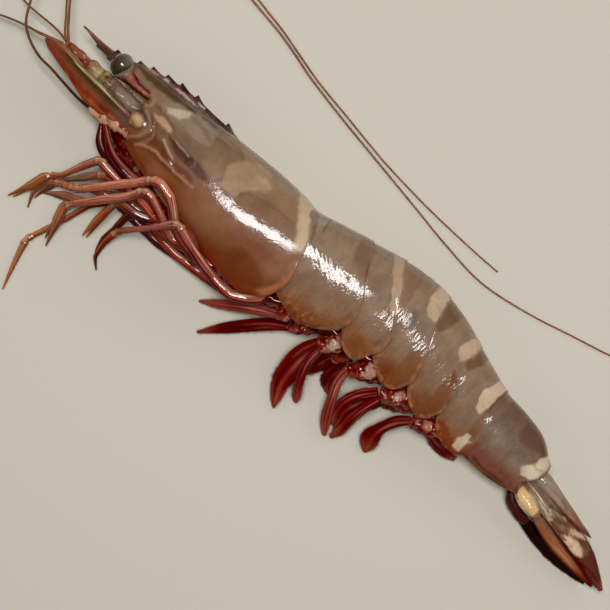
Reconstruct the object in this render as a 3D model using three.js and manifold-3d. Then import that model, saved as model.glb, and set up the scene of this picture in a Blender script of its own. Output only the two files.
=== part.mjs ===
// A raw tiger prawn lying on its right flank.
//
// Millimetres, +Z up. The head points to -X, the tail to +X, the back to +Y and the legs to -Y.
// The animal lies on the flat spot of its right flank, and the origin is that spot's middle,
// on the surface that carries it. Left means the animal's own left, the side that is up.

import * as THREE from 'three';
import { mergeVertices } from 'three/addons/utils/BufferGeometryUtils.js';
import Module from 'manifold-3d';

const wasm = await Module();
wasm.setup();

// ---------------------------------------------------------------- driving dimensions

const GAP = 0.3; // clearance between neighbouring pieces
const EDGE_ANGLE = (150 * Math.PI) / 180; // how far round a shell reaches from the back
const CARAPACE_SIDE = 0.88; // roundness of the carapace's flank, 1 is an ellipse
const ABDOMEN_SIDE = 0.72; // the abdomen's flank is flatter
const RIM_LIFT = 0.5; // how far a rear rim stands out over the next segment
const THORAX_HOLLOW = 3; // depth of the hollow between the two sides, under the head
const ABDOMEN_HOLLOW = 3.5; // the same between two ribs of the abdomen
const ROUND_STEPS = 9; // steps from the back to a shell's lower edge
const HOLLOW_STEPS = 3; // steps from that edge to the middle of the underside
const RIB_HOLLOW = 0.4; // what is left of the hollow at a shell's two ends
const RIM_GAP = 0.45; // clearance along the body between slanting rims
const REST_SPOT = [-26, 6]; // x and y of the flat spot, measured in the frame of the lines below

const ROSTRUM_TOOTH = 1.9; // height of an upper tooth
const ROSTRUM_TOOTH_LENGTH = 5;
const LOWER_TOOTH = 0.8;
const EYE_RADII = [4.3, 4.7, 4.2];
const LIMB_SIDES = 7;
const BLADE_FULL = 1.5; // a blade narrower than this to each side gets thinner as well
const BLADE_EDGE = 0.2; // share of a blade's thickness that is left at its two edges
const BLADE_ACROSS = [-1, -0.5, 0.2, 1]; // where a blade's section has its corners, edge to edge
const FEELER_CLEARANCE = 0.1; // how far a feeler stays off the surface
const CORD_SIDES = 6;
const ANTENNA_RADII = [0.55, 0.32]; // at the base and at the tip
const FLAGELLUM_RADII = [0.5, 0.28];

// Half thickness of a walking leg at each of its joints
const GIRTH = {
  root: 2.7,
  coxa: 2.5,
  ischium: 2.1,
  merus: 1.95,
  knee: 1.75,
  carpus: 1.65,
  shin: 1.15,
  wrist: 1.4,
  palm: 1.95,
  hinge: 1.5,
  finger: 0.85,
  foot: 0.8,
  tip: 0.28,
};

const COLOUR = {
  shell: 0x80705a,
  crimson: 0x7c2420,
  leg: 0xa5574a,
  scale: 0x9c4f34,
  flesh: 0xb9a184,
  eye: 0x3a4038,
  cord: 0x5d3a26,
};

// ---------------------------------------------------------------- small helpers

// A smooth line through a few stations [at, value], level beyond its ends
function curve(stations) {
  const slopes = stations.map((station, i) => {
    const before = stations[Math.max(i - 1, 0)];
    const after = stations[Math.min(i + 1, stations.length - 1)];
    return (after[1] - before[1]) / (after[0] - before[0]);
  });
  return (at) => {
    const last = stations.length - 1;
    if (at <= stations[0][0]) return stations[0][1];
    if (at >= stations[last][0]) return stations[last][1];
    let i = 0;
    while (at > stations[i + 1][0]) i += 1;
    const span = stations[i + 1][0] - stations[i][0];
    const t = (at - stations[i][0]) / span;
    const a = stations[i][1];
    const b = stations[i + 1][1];
    const rise = (b - a) * t * t * (3 - 2 * t);
    return a + rise + span * t * (1 - t) * (slopes[i] * (1 - t) - slopes[i + 1] * t);
  };
}

const mix = (a, b, t) => a + (b - a) * t;
const vector = (p) => new THREE.Vector3(p[0], p[1], p[2]);
const range = (count) => Array.from({ length: count }, (_, i) => i);

// Joins rings of points, all with the same number of points, into one closed solid
function loft(rings, cap = fanCap) {
  const count = rings[0].length;
  const positions = rings.flat().flatMap((p) => [p.x, p.y, p.z]);
  const index = [];
  for (let r = 0; r < rings.length - 1; r += 1) {
    for (let i = 0; i < count; i += 1) {
      const a = r * count + i;
      const b = r * count + ((i + 1) % count);
      index.push(a, b, b + count, a, b + count, a + count);
    }
  }
  const end = (rings.length - 1) * count;
  for (const [a, b, c] of cap(count)) {
    index.push(c, b, a);
    index.push(end + a, end + b, end + c);
  }
  const geometry = new THREE.BufferGeometry();
  geometry.setAttribute('position', new THREE.Float32BufferAttribute(positions, 3));
  geometry.setIndex(index);
  return solid(geometry);
}

// Closes a round ring with triangles from its first point
function fanCap(count) {
  return range(count - 2).map((i) => [0, i + 1, i + 2]);
}

// Closes a trunk ring with straight strips from its left side to its right
function stripCap(count) {
  const triangles = [[0, 1, count - 1]];
  const deep = ROUND_STEPS - 1;
  for (let i = 1; i < deep; i += 1) {
    triangles.push([i, i + 1, count - i - 1], [i, count - i - 1, count - i]);
  }
  for (let i = deep + 1; i < count - deep; i += 1) {
    triangles.push([deep, i, i + 1]);
  }
  return triangles;
}

// A solid from a closed geometry, whichever way its faces point
function solid(geometry) {
  geometry.deleteAttribute('normal');
  geometry.deleteAttribute('uv');
  const merged = mergeVertices(geometry, 1e-4);
  const triVerts = Uint32Array.from(merged.index.array);
  const vertProperties = Float32Array.from(merged.attributes.position.array);
  if (volumeOf(vertProperties, triVerts) < 0) {
    for (let i = 0; i < triVerts.length; i += 3) {
      [triVerts[i], triVerts[i + 1]] = [triVerts[i + 1], triVerts[i]];
    }
  }
  return new wasm.Manifold(new wasm.Mesh({ numProp: 3, vertProperties, triVerts }));
}

function volumeOf(positions, index) {
  const corner = (i) => new THREE.Vector3().fromArray(positions, 3 * i);
  let six = 0;
  for (let i = 0; i < index.length; i += 3) {
    six += corner(index[i]).dot(corner(index[i + 1]).cross(corner(index[i + 2])));
  }
  return six / 6;
}

const join = (solids) => solids.reduce((whole, next) => whole.add(next));

// ---------------------------------------------------------------- the trunk's lines

// Height of the back, half width and height of the middle plane, along the body
const backLine = curve([
  [-96, 20.9], [-85, 22.5], [-72, 24.5], [-58, 26.4], [-42, 28], [-28, 28.6], [-21, 28.2],
  [-10, 31.5], [5, 35.5], [20, 39.4], [33, 40.5], [46, 38.9], [60, 35], [76, 30.8], [88, 30],
  [98, 28], [107, 22.6],
]);
const halfWidth = curve([
  [-96, 7.8], [-88, 10.6], [-78, 12.8], [-65, 14.9], [-48, 16.4], [-30, 17], [-12, 16.2],
  [20, 15.2], [40, 14.1], [60, 12.6], [80, 10.4], [95, 8.9], [107, 7.4],
]);
const middle = curve([
  [-60, 16.2], [-30, 16.4], [-12, 15.6], [20, 14.6], [40, 13.5], [60, 12.1], [80, 10.8],
  [107, 9.6], [156, 8.6],
]);

// Rear rims, x as a function of y. Each shell's rim is the next one's front edge.
const headRim = curve([[-5, -88.4], [-1, -90.4], [5, -93.6], [9, -93.2], [15, -94.6], [22, -95.6]]);
const carapaceRim = curve([
  [-14, -20], [-9, -13.4], [-4, -10.8], [1, -10], [8, -12], [17, -15.3], [24, -20.2], [29, -22.3],
]);

// ---------------------------------------------------------------- trunk shells

// The trunk's shells from the head to the tail: rear rim, lower edge, how much higher than usual
// the widest place of the flank lies (its crest), and how many rings
const SHELLS = [
  {
    name: 'carapace',
    rim: carapaceRim,
    lower: curve([[-90, -4.8], [-80, -7.4], [-65, -9.8], [-50, -11.8], [-38, -13.3], [-19, -14]]),
    side: CARAPACE_SIDE,
    crest: curve([[-57, 0], [-50, -1.2], [-44, -1], [-38, -0.5], [-33, 0.8], [-28, 2.3], [-22, 4],
      [-16, 5.4], [-10, 6.4]]),
    hollow: THORAX_HOLLOW,
    lift: 0,
    gap: 0,
    rings: 13,
  },
  {
    name: 'abdomen_1',
    rim: curve([[2, 15.2], [9.5, 16.3], [15, 14], [21, 10], [28, 5.5], [35.5, 1]]),
    lower: curve([[-11, -4.3], [-5, -5.9], [0, -6.9], [5, -5.6], [10, -2.6], [15.5, 2.2]]),
    crest: curve([[-18, 1.2], [-8, 2.2], [0, 2.4], [8, 1.2], [14, -0.6]]),
  },
  {
    name: 'abdomen_2',
    rim: curve([[2, 29], [9, 31.5], [15, 29], [21, 25], [30, 20], [39, 14.8]]),
    lower: curve([[15.5, 3.6], [19, -0.4], [23, -2], [27, -1.5], [29.5, 1.6]]),
  },
  {
    name: 'abdomen_3',
    rim: curve([[3, 46.6], [8, 47.5], [13, 46], [20, 43], [29.5, 39], [41, 36]]),
    lower: curve([[29.5, 5], [33, 2.6], [37, 0.2], [41, -0.6], [45, 1], [47, 4]]),
  },
  {
    name: 'abdomen_4',
    rim: curve([[3, 62], [8, 63], [15, 62], [22, 59.7], [30, 58], [37, 58]]),
    lower: curve([[47, 6], [50, 3], [53.5, 0.8], [57, 0], [60, 0.9], [62.5, 3.6]]),
  },
  {
    name: 'abdomen_5',
    rim: curve([[0, 79], [6, 80], [13, 79], [19, 76.3], [25, 75.5], [32, 76.5]]),
    lower: curve([[62.5, 6], [65.5, 2.4], [69, 0.2], [74, -0.6], [79.5, 0]]),
  },
  {
    name: 'abdomen_6',
    rim: curve([[5, 106], [10, 102.8], [12.5, 104.5], [17, 107.3], [23, 107.2]]),
    lower: curve([[79.5, 2], [90, 2.3], [98, 3.6], [106, 6]]),
  },
].map((shell, i, all) => ({
  side: ABDOMEN_SIDE,
  crest: () => 0,
  hollow: ABDOMEN_HOLLOW,
  lift: RIM_LIFT,
  gap: RIM_GAP,
  rings: 7,
  front: i ? all[i - 1].rim : headRim,
  ...shell,
}));

// One ring of a shell at the fraction t of its length
function shellRing(shell, t, grow) {
  const reach = t === 0 ? -grow : t === 1 ? grow : 0;
  const lift = shell.lift * (t - 0.5);
  const hollow = mix(RIB_HOLLOW, shell.hollow, Math.sin(Math.PI * t));
  const place = (h) => {
    let x = mix(shell.front(0), shell.rim(0), t);
    let y = 0;
    for (let i = 0; i < 6; i += 1) {
      y = mix(backLine(x) + lift + grow, shell.lower(x) - grow, h);
      y += shell.crest(x) * 4 * h * (1 - h);
      x = mix(shell.front(y) + shell.gap, shell.rim(y), t);
    }
    return [x + reach, y];
  };
  const point = (x, y, out) => {
    const z = middle(x) + out;
    return new THREE.Vector3(x, y, grow ? z : Math.max(z, 0));
  };
  const left = [];
  const right = [];
  let edge = 0;
  for (let i = 1; i <= ROUND_STEPS; i += 1) {
    const angle = (EDGE_ANGLE * i) / ROUND_STEPS;
    const [x, y] = place((1 - Math.cos(angle)) / (1 - Math.cos(EDGE_ANGLE)));
    edge = (halfWidth(x) + lift + grow) * Math.sin(angle) ** shell.side;
    left.push(point(x, y, edge));
    right.unshift(point(x, y, -edge));
  }
  const [keel, low] = place(1);
  for (let i = 1; i <= HOLLOW_STEPS; i += 1) {
    const q = i / HOLLOW_STEPS;
    const y = low + hollow * Math.sin((q * Math.PI) / 2);
    left.push(point(keel, y, edge * (1 - q)));
    if (i < HOLLOW_STEPS) right.unshift(point(keel, y, -edge * (1 - q)));
  }
  const [x, y] = place(0);
  return [point(x, y, 0), ...left, ...right];
}

function shellSolid(shell, grow = 0) {
  const rings = range(shell.rings).map((i) => shellRing(shell, i / (shell.rings - 1), grow));
  return loft(rings, stripCap);
}

// ---------------------------------------------------------------- rostrum

const crestLine = curve([
  [-131, 15.5], [-116, 16.6], [-107, 19.5], [-102, 21.4], [-96, 23.2], [-90, 24.8], [-82, 25.7],
  [-72, 26.1], [-58, 26.5],
]);
const crestFoot = curve([
  [-131, 15.1], [-116, 15], [-106, 19.3], [-90, 21], [-72, 22.4], [-58, 24.6],
]);
const crestKeel = curve([
  [-131, 15.1], [-124, 14], [-116.5, 13.3], [-111, 13.4], [-106, 15.4], [-95, 15.9], [-86, 17.5],
  [-58, 23.5],
]);
const footHalfWidth = curve([
  [-131, 0.4], [-116, 1.3], [-107, 1.8], [-104, 2.8], [-95, 5.4], [-84, 7], [-58, 4],
]);
const crestHalfWidth = curve([[-131, 0.3], [-116, 0.8], [-100, 1.2], [-80, 1.5], [-58, 2.2]]);
const UPPER_TEETH = [-115.9, -107, -102, -96.1, -90.2, -82.9, -67.5];
const LOWER_TEETH = [-122.5, -116.5, -110.5];

// How high a saw of forward pointing teeth stands at x
function saw(tips, x, height) {
  const before = tips.filter((tip) => tip <= x + 1e-6);
  if (!before.length) return 0;
  const run = (x - before[before.length - 1]) / ROSTRUM_TOOTH_LENGTH;
  return height * Math.max(0, 1 - run) ** 1.3;
}

function rostrumSolid(grow = 0) {
  const stations = [
    -131, -127.5, -124, -120, -113, -110.8, -108.2, -105, -100, -94, -87, -79.5, -74, -63, -58,
  ];
  for (const tip of [...UPPER_TEETH, ...LOWER_TEETH]) {
    stations.push(tip - 0.45, tip);
  }
  stations.sort((a, b) => a - b);
  const rings = stations.map((x) => {
    const top = crestLine(x) + saw(UPPER_TEETH, x, ROSTRUM_TOOTH) + grow;
    const keel = crestKeel(x) - saw(LOWER_TEETH, x, LOWER_TOOTH) - grow;
    const foot = crestFoot(x);
    const side = crestHalfWidth(x) + grow;
    const outline = [
      [top, 0.25 * side],
      [mix(foot, crestLine(x), 0.5), side],
      [foot, footHalfWidth(x) + grow],
      [keel, 0.4 * footHalfWidth(x) + grow],
    ];
    const rightSide = outline.map(([y, z]) => [y, -z]).reverse();
    return [...outline, ...rightSide].map(([y, z]) => new THREE.Vector3(x, y, middle(x) + z));
  });
  return loft(rings);
}

// ---------------------------------------------------------------- limbs, blades and cords

// A chain of round sections. Each station is [x, y, z, half thickness].
function limb(stations, grow = 0, sides = LIMB_SIDES) {
  const centres = stations.map(vector);
  const last = centres.length - 1;
  const way = (i) =>
    centres[Math.min(i + 1, last)].clone().sub(centres[Math.max(i - 1, 0)]).normalize();
  let across = new THREE.Vector3(0, 0, 1).cross(way(0));
  if (across.length() < 0.1) across.set(1, 0, 0);
  const rings = centres.map((centre, i) => {
    const along = way(i);
    across = across.clone().addScaledVector(along, -across.dot(along)).normalize();
    const up = along.clone().cross(across);
    const shift = i === 0 ? -grow : i === last ? grow : 0;
    return range(sides).map((k) => {
      const angle = (2 * Math.PI * k) / sides;
      const radius = stations[i][3] + grow;
      return centre
        .clone()
        .addScaledVector(along, shift)
        .addScaledVector(across, radius * Math.cos(angle))
        .addScaledVector(up, radius * Math.sin(angle));
    });
  });
  return loft(rings);
}

// A leaf shaped plate. Each station is [x, y, z, half width]; across is the way its width runs,
// thick is its half thickness in the middle and cup is how far its middle bulges.
function blade({ spine, across, thick, cup = 0 }, grow = 0) {
  const centres = spine.map(vector);
  const last = centres.length - 1;
  const rings = centres.map((centre, i) => {
    const along = centres[Math.min(i + 1, last)].clone().sub(centres[Math.max(i - 1, 0)]).normalize();
    const wide = vector(across).addScaledVector(along, -vector(across).dot(along)).normalize();
    const up = along.clone().cross(wide);
    const half = spine[i][3] + grow;
    const taper = Math.min(1, spine[i][3] / BLADE_FULL);
    const shift = i === 0 ? -grow : i === last ? grow : 0;
    const at = (u, side) => {
      const round = Math.sqrt(1 - u * u * (1 - BLADE_EDGE ** 2));
      const rise = taper * cup * (1 - u * u) + side * (taper * thick * round + grow);
      return centre
        .clone()
        .addScaledVector(along, shift)
        .addScaledVector(wide, half * u)
        .addScaledVector(up, rise);
    };
    const top = BLADE_ACROSS.map((u) => at(u, 1));
    const under = BLADE_ACROSS.map((u) => at(u, -1)).reverse();
    return [...top, ...under];
  });
  return loft(rings);
}

// A long thin feeler through hand chosen points, thinner towards its tip
function feeler(points, [base, tip], steps, grow = 0) {
  const route = new THREE.CatmullRomCurve3(points.map(vector), false, 'centripetal');
  const stations = range(steps + 1).map((i) => {
    const at = route.getPointAt(i / steps);
    const radius = mix(base, tip, i / steps);
    return [at.x, at.y, Math.max(at.z, radius + FEELER_CLEARANCE), radius];
  });
  return limb(stations, grow, CORD_SIDES);
}

function ball([x, y, z], [rx, ry, rz], grow = 0) {
  const geometry = new THREE.SphereGeometry(1, 12, 8);
  geometry.scale(rx + grow, ry + grow, rz + grow);
  geometry.translate(x, y, z);
  return solid(geometry);
}

// A walking leg through its joints, each [kind, x, y, z], with a second finger if it has a claw
function leg(joints, size, finger, grow = 0) {
  const station = ([kind, x, y, z]) => [x, y, Math.max(z, GIRTH[kind] * size), GIRTH[kind] * size];
  const main = limb(joints.map(station), grow);
  return finger ? join([main, limb(finger.map(station), grow, 5)]) : main;
}

// ---------------------------------------------------------------- head

// Half of a pair's pieces are mirrored in the middle plane, which lies level here
const HEAD_PLANE = middle(-100);
const mirrored = (stations) =>
  stations.map(([x, y, z, ...rest]) => [x, y, 2 * HEAD_PLANE - z, ...rest]);
const SIDES = [['left', (stations) => stations], ['right', mirrored]];

const pieces = [];
const add = (name, colour, make) => pieces.push({ name, colour, make });

for (const shell of SHELLS) {
  const make = (grow) => {
    const body = shellSolid(shell, grow);
    return shell.name === 'carapace' ? join([body, rostrumSolid(grow)]) : body;
  };
  add(shell.name, COLOUR.shell, make);
}

for (const [side, turn] of SIDES) {
  const lift = side === 'left' ? 1 : -1;
  const [[eyeX, eyeY, eyeZ]] = turn([[-110, 14.7, 23.3]]);
  const stalk = turn([[-94, 13.8, 18.4, 1.6], [-101, 13.2, 20.6, 1.7], [-105.5, 13.6, 22.2, 2.6],
    [-108.5, 14.2, 23, 3.4]]);
  add(`eye_${side}`, COLOUR.eye, (grow) =>
    join([ball([eyeX, eyeY, eyeZ], EYE_RADII, grow), limb(stalk, grow)]));

  const scale = {
    spine: turn([[-92.2, 1.2, 21.4, 3.3], [-97, 0.7, 22.7, 3.9], [-103, 0.2, 23.4, 4.4],
      [-111, 0.2, 23.8, 4.5], [-120, 1, 23.6, 3.6], [-128, 1.7, 23, 2.9], [-133, 1.9, 22.4, 2.1],
      [-136.2, 2.2, 22, 0.9]]),
    across: [0, 1, 0.35 * lift],
    thick: 0.9,
  };
  add(`antennal_scale_${side}`, COLOUR.scale, (grow) => blade(scale, grow));

  const peduncle = turn([[-92.6, 6.8, 19.6, 2.6], [-96, 6.6, 20.2, 3.2], [-106, 6.6, 20.4, 3.3],
    [-111.5, 6.8, 20.2, 3], [-113, 6.7, 20.1, 2.7], [-118, 6.4, 19.8, 2.6],
    [-119.5, 6.2, 19.7, 2.2], [-126, 6, 19.4, 2.1], [-130.5, 5.8, 19.2, 1.4]]);
  add(`antennule_${side}`, COLOUR.scale, (grow) => limb(peduncle, grow));

  const base = turn([[-89.6, -0.6, 19.6, 2.2], [-98, -2.4, 20.2, 2.6], [-104, -4, 20, 2.1],
    [-107.3, -4.8, 19.6, 1.1]]);
  add(`antenna_base_${side}`, COLOUR.leg, (grow) => limb(base, grow));
}

// ---------------------------------------------------------------- feelers

const ANTENNA_ROUTES = {
  antenna_left: [
    [-108.2, -5, 19.5], [-114, -5.3, 19], [-120.8, -5, 18], [-128.6, -4.5, 17], [-134.5, -4.5, 16],
    [-141.6, -2.7, 15], [-147.5, 0.8, 14], [-152.3, 7.5, 12.5], [-158, 18, 10], [-163, 30, 8],
    [-164.5, 44, 6], [-159, 58, 4.5], [-147, 67.5, 3.2], [-131, 72.3, 2.2], [-113, 72.6, 1.3],
    [-94.6, 69.6, 0.7], [-80.3, 67.9, 0.6], [-69.8, 66, 0.6], [-56, 63.6, 0.6], [-39, 61.9, 0.6],
    [-18.6, 59.9, 0.6], [-4, 59.3, 0.5], [11.6, 59.2, 0.5], [31, 59.9, 0.5], [42.9, 60.7, 0.5],
  ],
  antenna_right: [
    [-108.6, -4.8, 12.9], [-113, -3.8, 14], [-118, -1.6, 15.6], [-124, 1.8, 16.2],
    [-129, 5.2, 16.2], [-131.5, 7.6, 16], [-134.7, 10.4, 15.2], [-138.6, 14.5, 14],
    [-142, 18.2, 13], [-149, 27, 11], [-154.5, 39, 8.5], [-153, 52, 6], [-144, 62.5, 4],
    [-129, 68.4, 2.5], [-112, 69.8, 1.4], [-96.3, 67.9, 0.7], [-79.5, 66.3, 0.6],
    [-69.5, 64.6, 0.6], [-59.4, 62.6, 0.6], [-39, 60, 0.6], [-18.6, 58, 0.6], [2, 56, 0.5],
    [21.9, 54, 0.5], [41.5, 53.4, 0.5], [61.8, 57.6, 0.5], [81.5, 63.9, 0.5], [95.7, 68.5, 0.5],
    [105, 72.6, 0.5],
  ],
};
const ANTENNULE_ROUTES = {
  antennule_left_outer: [[-131.2, 6.6, 19.6], [-134.4, 9.2, 18.6], [-138, 13.1, 17.4],
    [-142, 17.2, 16], [-147.5, 24, 13.6], [-151, 31, 11]],
  antennule_left_inner: [[-131.4, 5.2, 18.4], [-136, 3.6, 18.2], [-141, 1.7, 17.6],
    [-148, -0.4, 16.4], [-156.1, -3.7, 14.5], [-163, -8, 12]],
  antennule_right_outer: [[-131.4, 6.5, 13], [-137, 7.2, 12.4], [-142.7, 7, 11.4],
    [-150.4, 6.3, 10], [-156, 6.4, 8.4], [-163, 8, 6]],
  antennule_right_inner: [[-131.2, 5.1, 12.8], [-136, 3.8, 11.8], [-142, 1.7, 10.4],
    [-150, -0.6, 9], [-158.2, -3.9, 7], [-164, -7.6, 5.4]],
};
for (const [name, route] of Object.entries(ANTENNA_ROUTES)) {
  add(name, COLOUR.cord, (grow) => feeler(route, ANTENNA_RADII, 64, grow));
}
for (const [name, route] of Object.entries(ANTENNULE_ROUTES)) {
  add(name, COLOUR.cord, (grow) => feeler(route, FLAGELLUM_RADII, 11, grow));
}

// ---------------------------------------------------------------- tail fan

const telson = [
  [106.5, 16.6, 10, 3.4], [110, 16.5, 10.1, 3.5], [116, 15.9, 10, 2.9], [123, 15.2, 9.8, 2.2],
  [130, 14.5, 9.5, 1.5], [134.5, 14.2, 9.3, 0.9], [137.5, 14.1, 9.1, 0.25],
];
add('telson', COLOUR.shell, (grow) => limb(telson, grow));

const FAN = {
  uropod_base_left: [[104.6, 8.4, 11.6, 1.8], [107, 7.4, 12.6, 2.9], [111.5, 6.4, 13, 3.3],
    [115.4, 5.8, 12.8, 2.4], [117.2, 5.6, 12.5, 1.2]],
  uropod_base_right: [[104.6, 5.4, 6.2, 1.8], [107, 3.4, 5.4, 2.5], [111, 2, 4.8, 2.6],
    [114.6, 1.2, 4.4, 2.2], [117.2, 0.9, 4.2, 1.5]],
};
for (const [name, stations] of Object.entries(FAN)) {
  add(name, COLOUR.flesh, (grow) => limb(stations, grow, 8));
}

const FAN_BLADES = {
  uropod_inner_left: {
    spine: [[104.8, 12, 11.4, 1.8], [111, 11.4, 12.8, 2.4], [118, 10.2, 13.2, 3.3],
      [126, 9.3, 12.6, 3.8], [134, 8.8, 11.8, 4.2], [142, 7, 10.8, 3.6], [149, 4.6, 9.8, 2.2],
      [154.2, 2.8, 9, 0.8]],
    across: [0.25, 1, -0.2],
    thick: 0.7,
    cup: 0.5,
  },
  uropod_outer_left: {
    spine: [[116.2, 5, 12.2, 1.7], [124, 3.9, 11.3, 2.8], [131, 3.2, 10.2, 3.2],
      [139, 2.6, 9, 2.6], [146, 2, 8.1, 1.6], [151, 1.4, 7.5, 0.6]],
    across: [0, 1, 0.3],
    thick: 0.6,
  },
  uropod_inner_right: {
    spine: [[112.5, 9.2, 6.6, 1.6], [118, 8.6, 6.3, 3], [126, 7.8, 5.8, 3.8], [134, 7, 5.2, 4],
      [142, 5.4, 4.5, 3.2], [149.5, 3.2, 3.7, 1.2]],
    across: [0.1, 1, 0.15],
    thick: 0.6,
  },
  uropod_outer_right: {
    spine: [[115.8, 0.8, 4, 1.9], [124, 0.3, 3.5, 3], [131, 0.2, 3, 3.3], [139, 0.3, 2.5, 2.8],
      [145, 0.3, 2.2, 1.8], [149.5, 0.4, 2, 0.7]],
    across: [0, 1, 0.1],
    thick: 0.6,
  },
};
for (const [name, shape] of Object.entries(FAN_BLADES)) {
  add(name, COLOUR.crimson, (grow) => blade(shape, grow));
}

// ---------------------------------------------------------------- mouth and walking legs

add('mouthparts', COLOUR.crimson, (grow) =>
  limb([[-98, -4, 16.2, 0.9], [-94, -5, 16.2, 1.9], [-87, -7, 16.2, 3], [-79, -9, 16.2, 3.3],
    [-71, -10.6, 16.2, 3], [-66.5, -11.2, 16.2, 1.8]], grow, 9));

const MAXILLIPEDS = {
  maxilliped_left: [[-66.5, -12, 20.6, 2.2], [-75.3, -12.4, 21, 2.4], [-83.3, -12.3, 21, 2.4],
    [-89.3, -11.3, 20.5, 2.1], [-94.3, -8.9, 20, 1.8], [-97.9, -6.4, 19.5, 1.3],
    [-100.5, -4.6, 19, 0.6]],
  maxilliped_right: [[-66.5, -12.6, 11.8, 2.2], [-76.6, -13.1, 11.5, 2.4],
    [-84.6, -13.3, 11.5, 2.3], [-92.7, -12.7, 11.5, 2.1], [-97.2, -10.9, 12, 1.7],
    [-100.1, -7.5, 12.5, 1.2], [-102, -5, 13, 0.6]],
};
for (const [name, stations] of Object.entries(MAXILLIPEDS)) {
  add(name, COLOUR.crimson, (grow) => limb(stations, grow));
}

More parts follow.
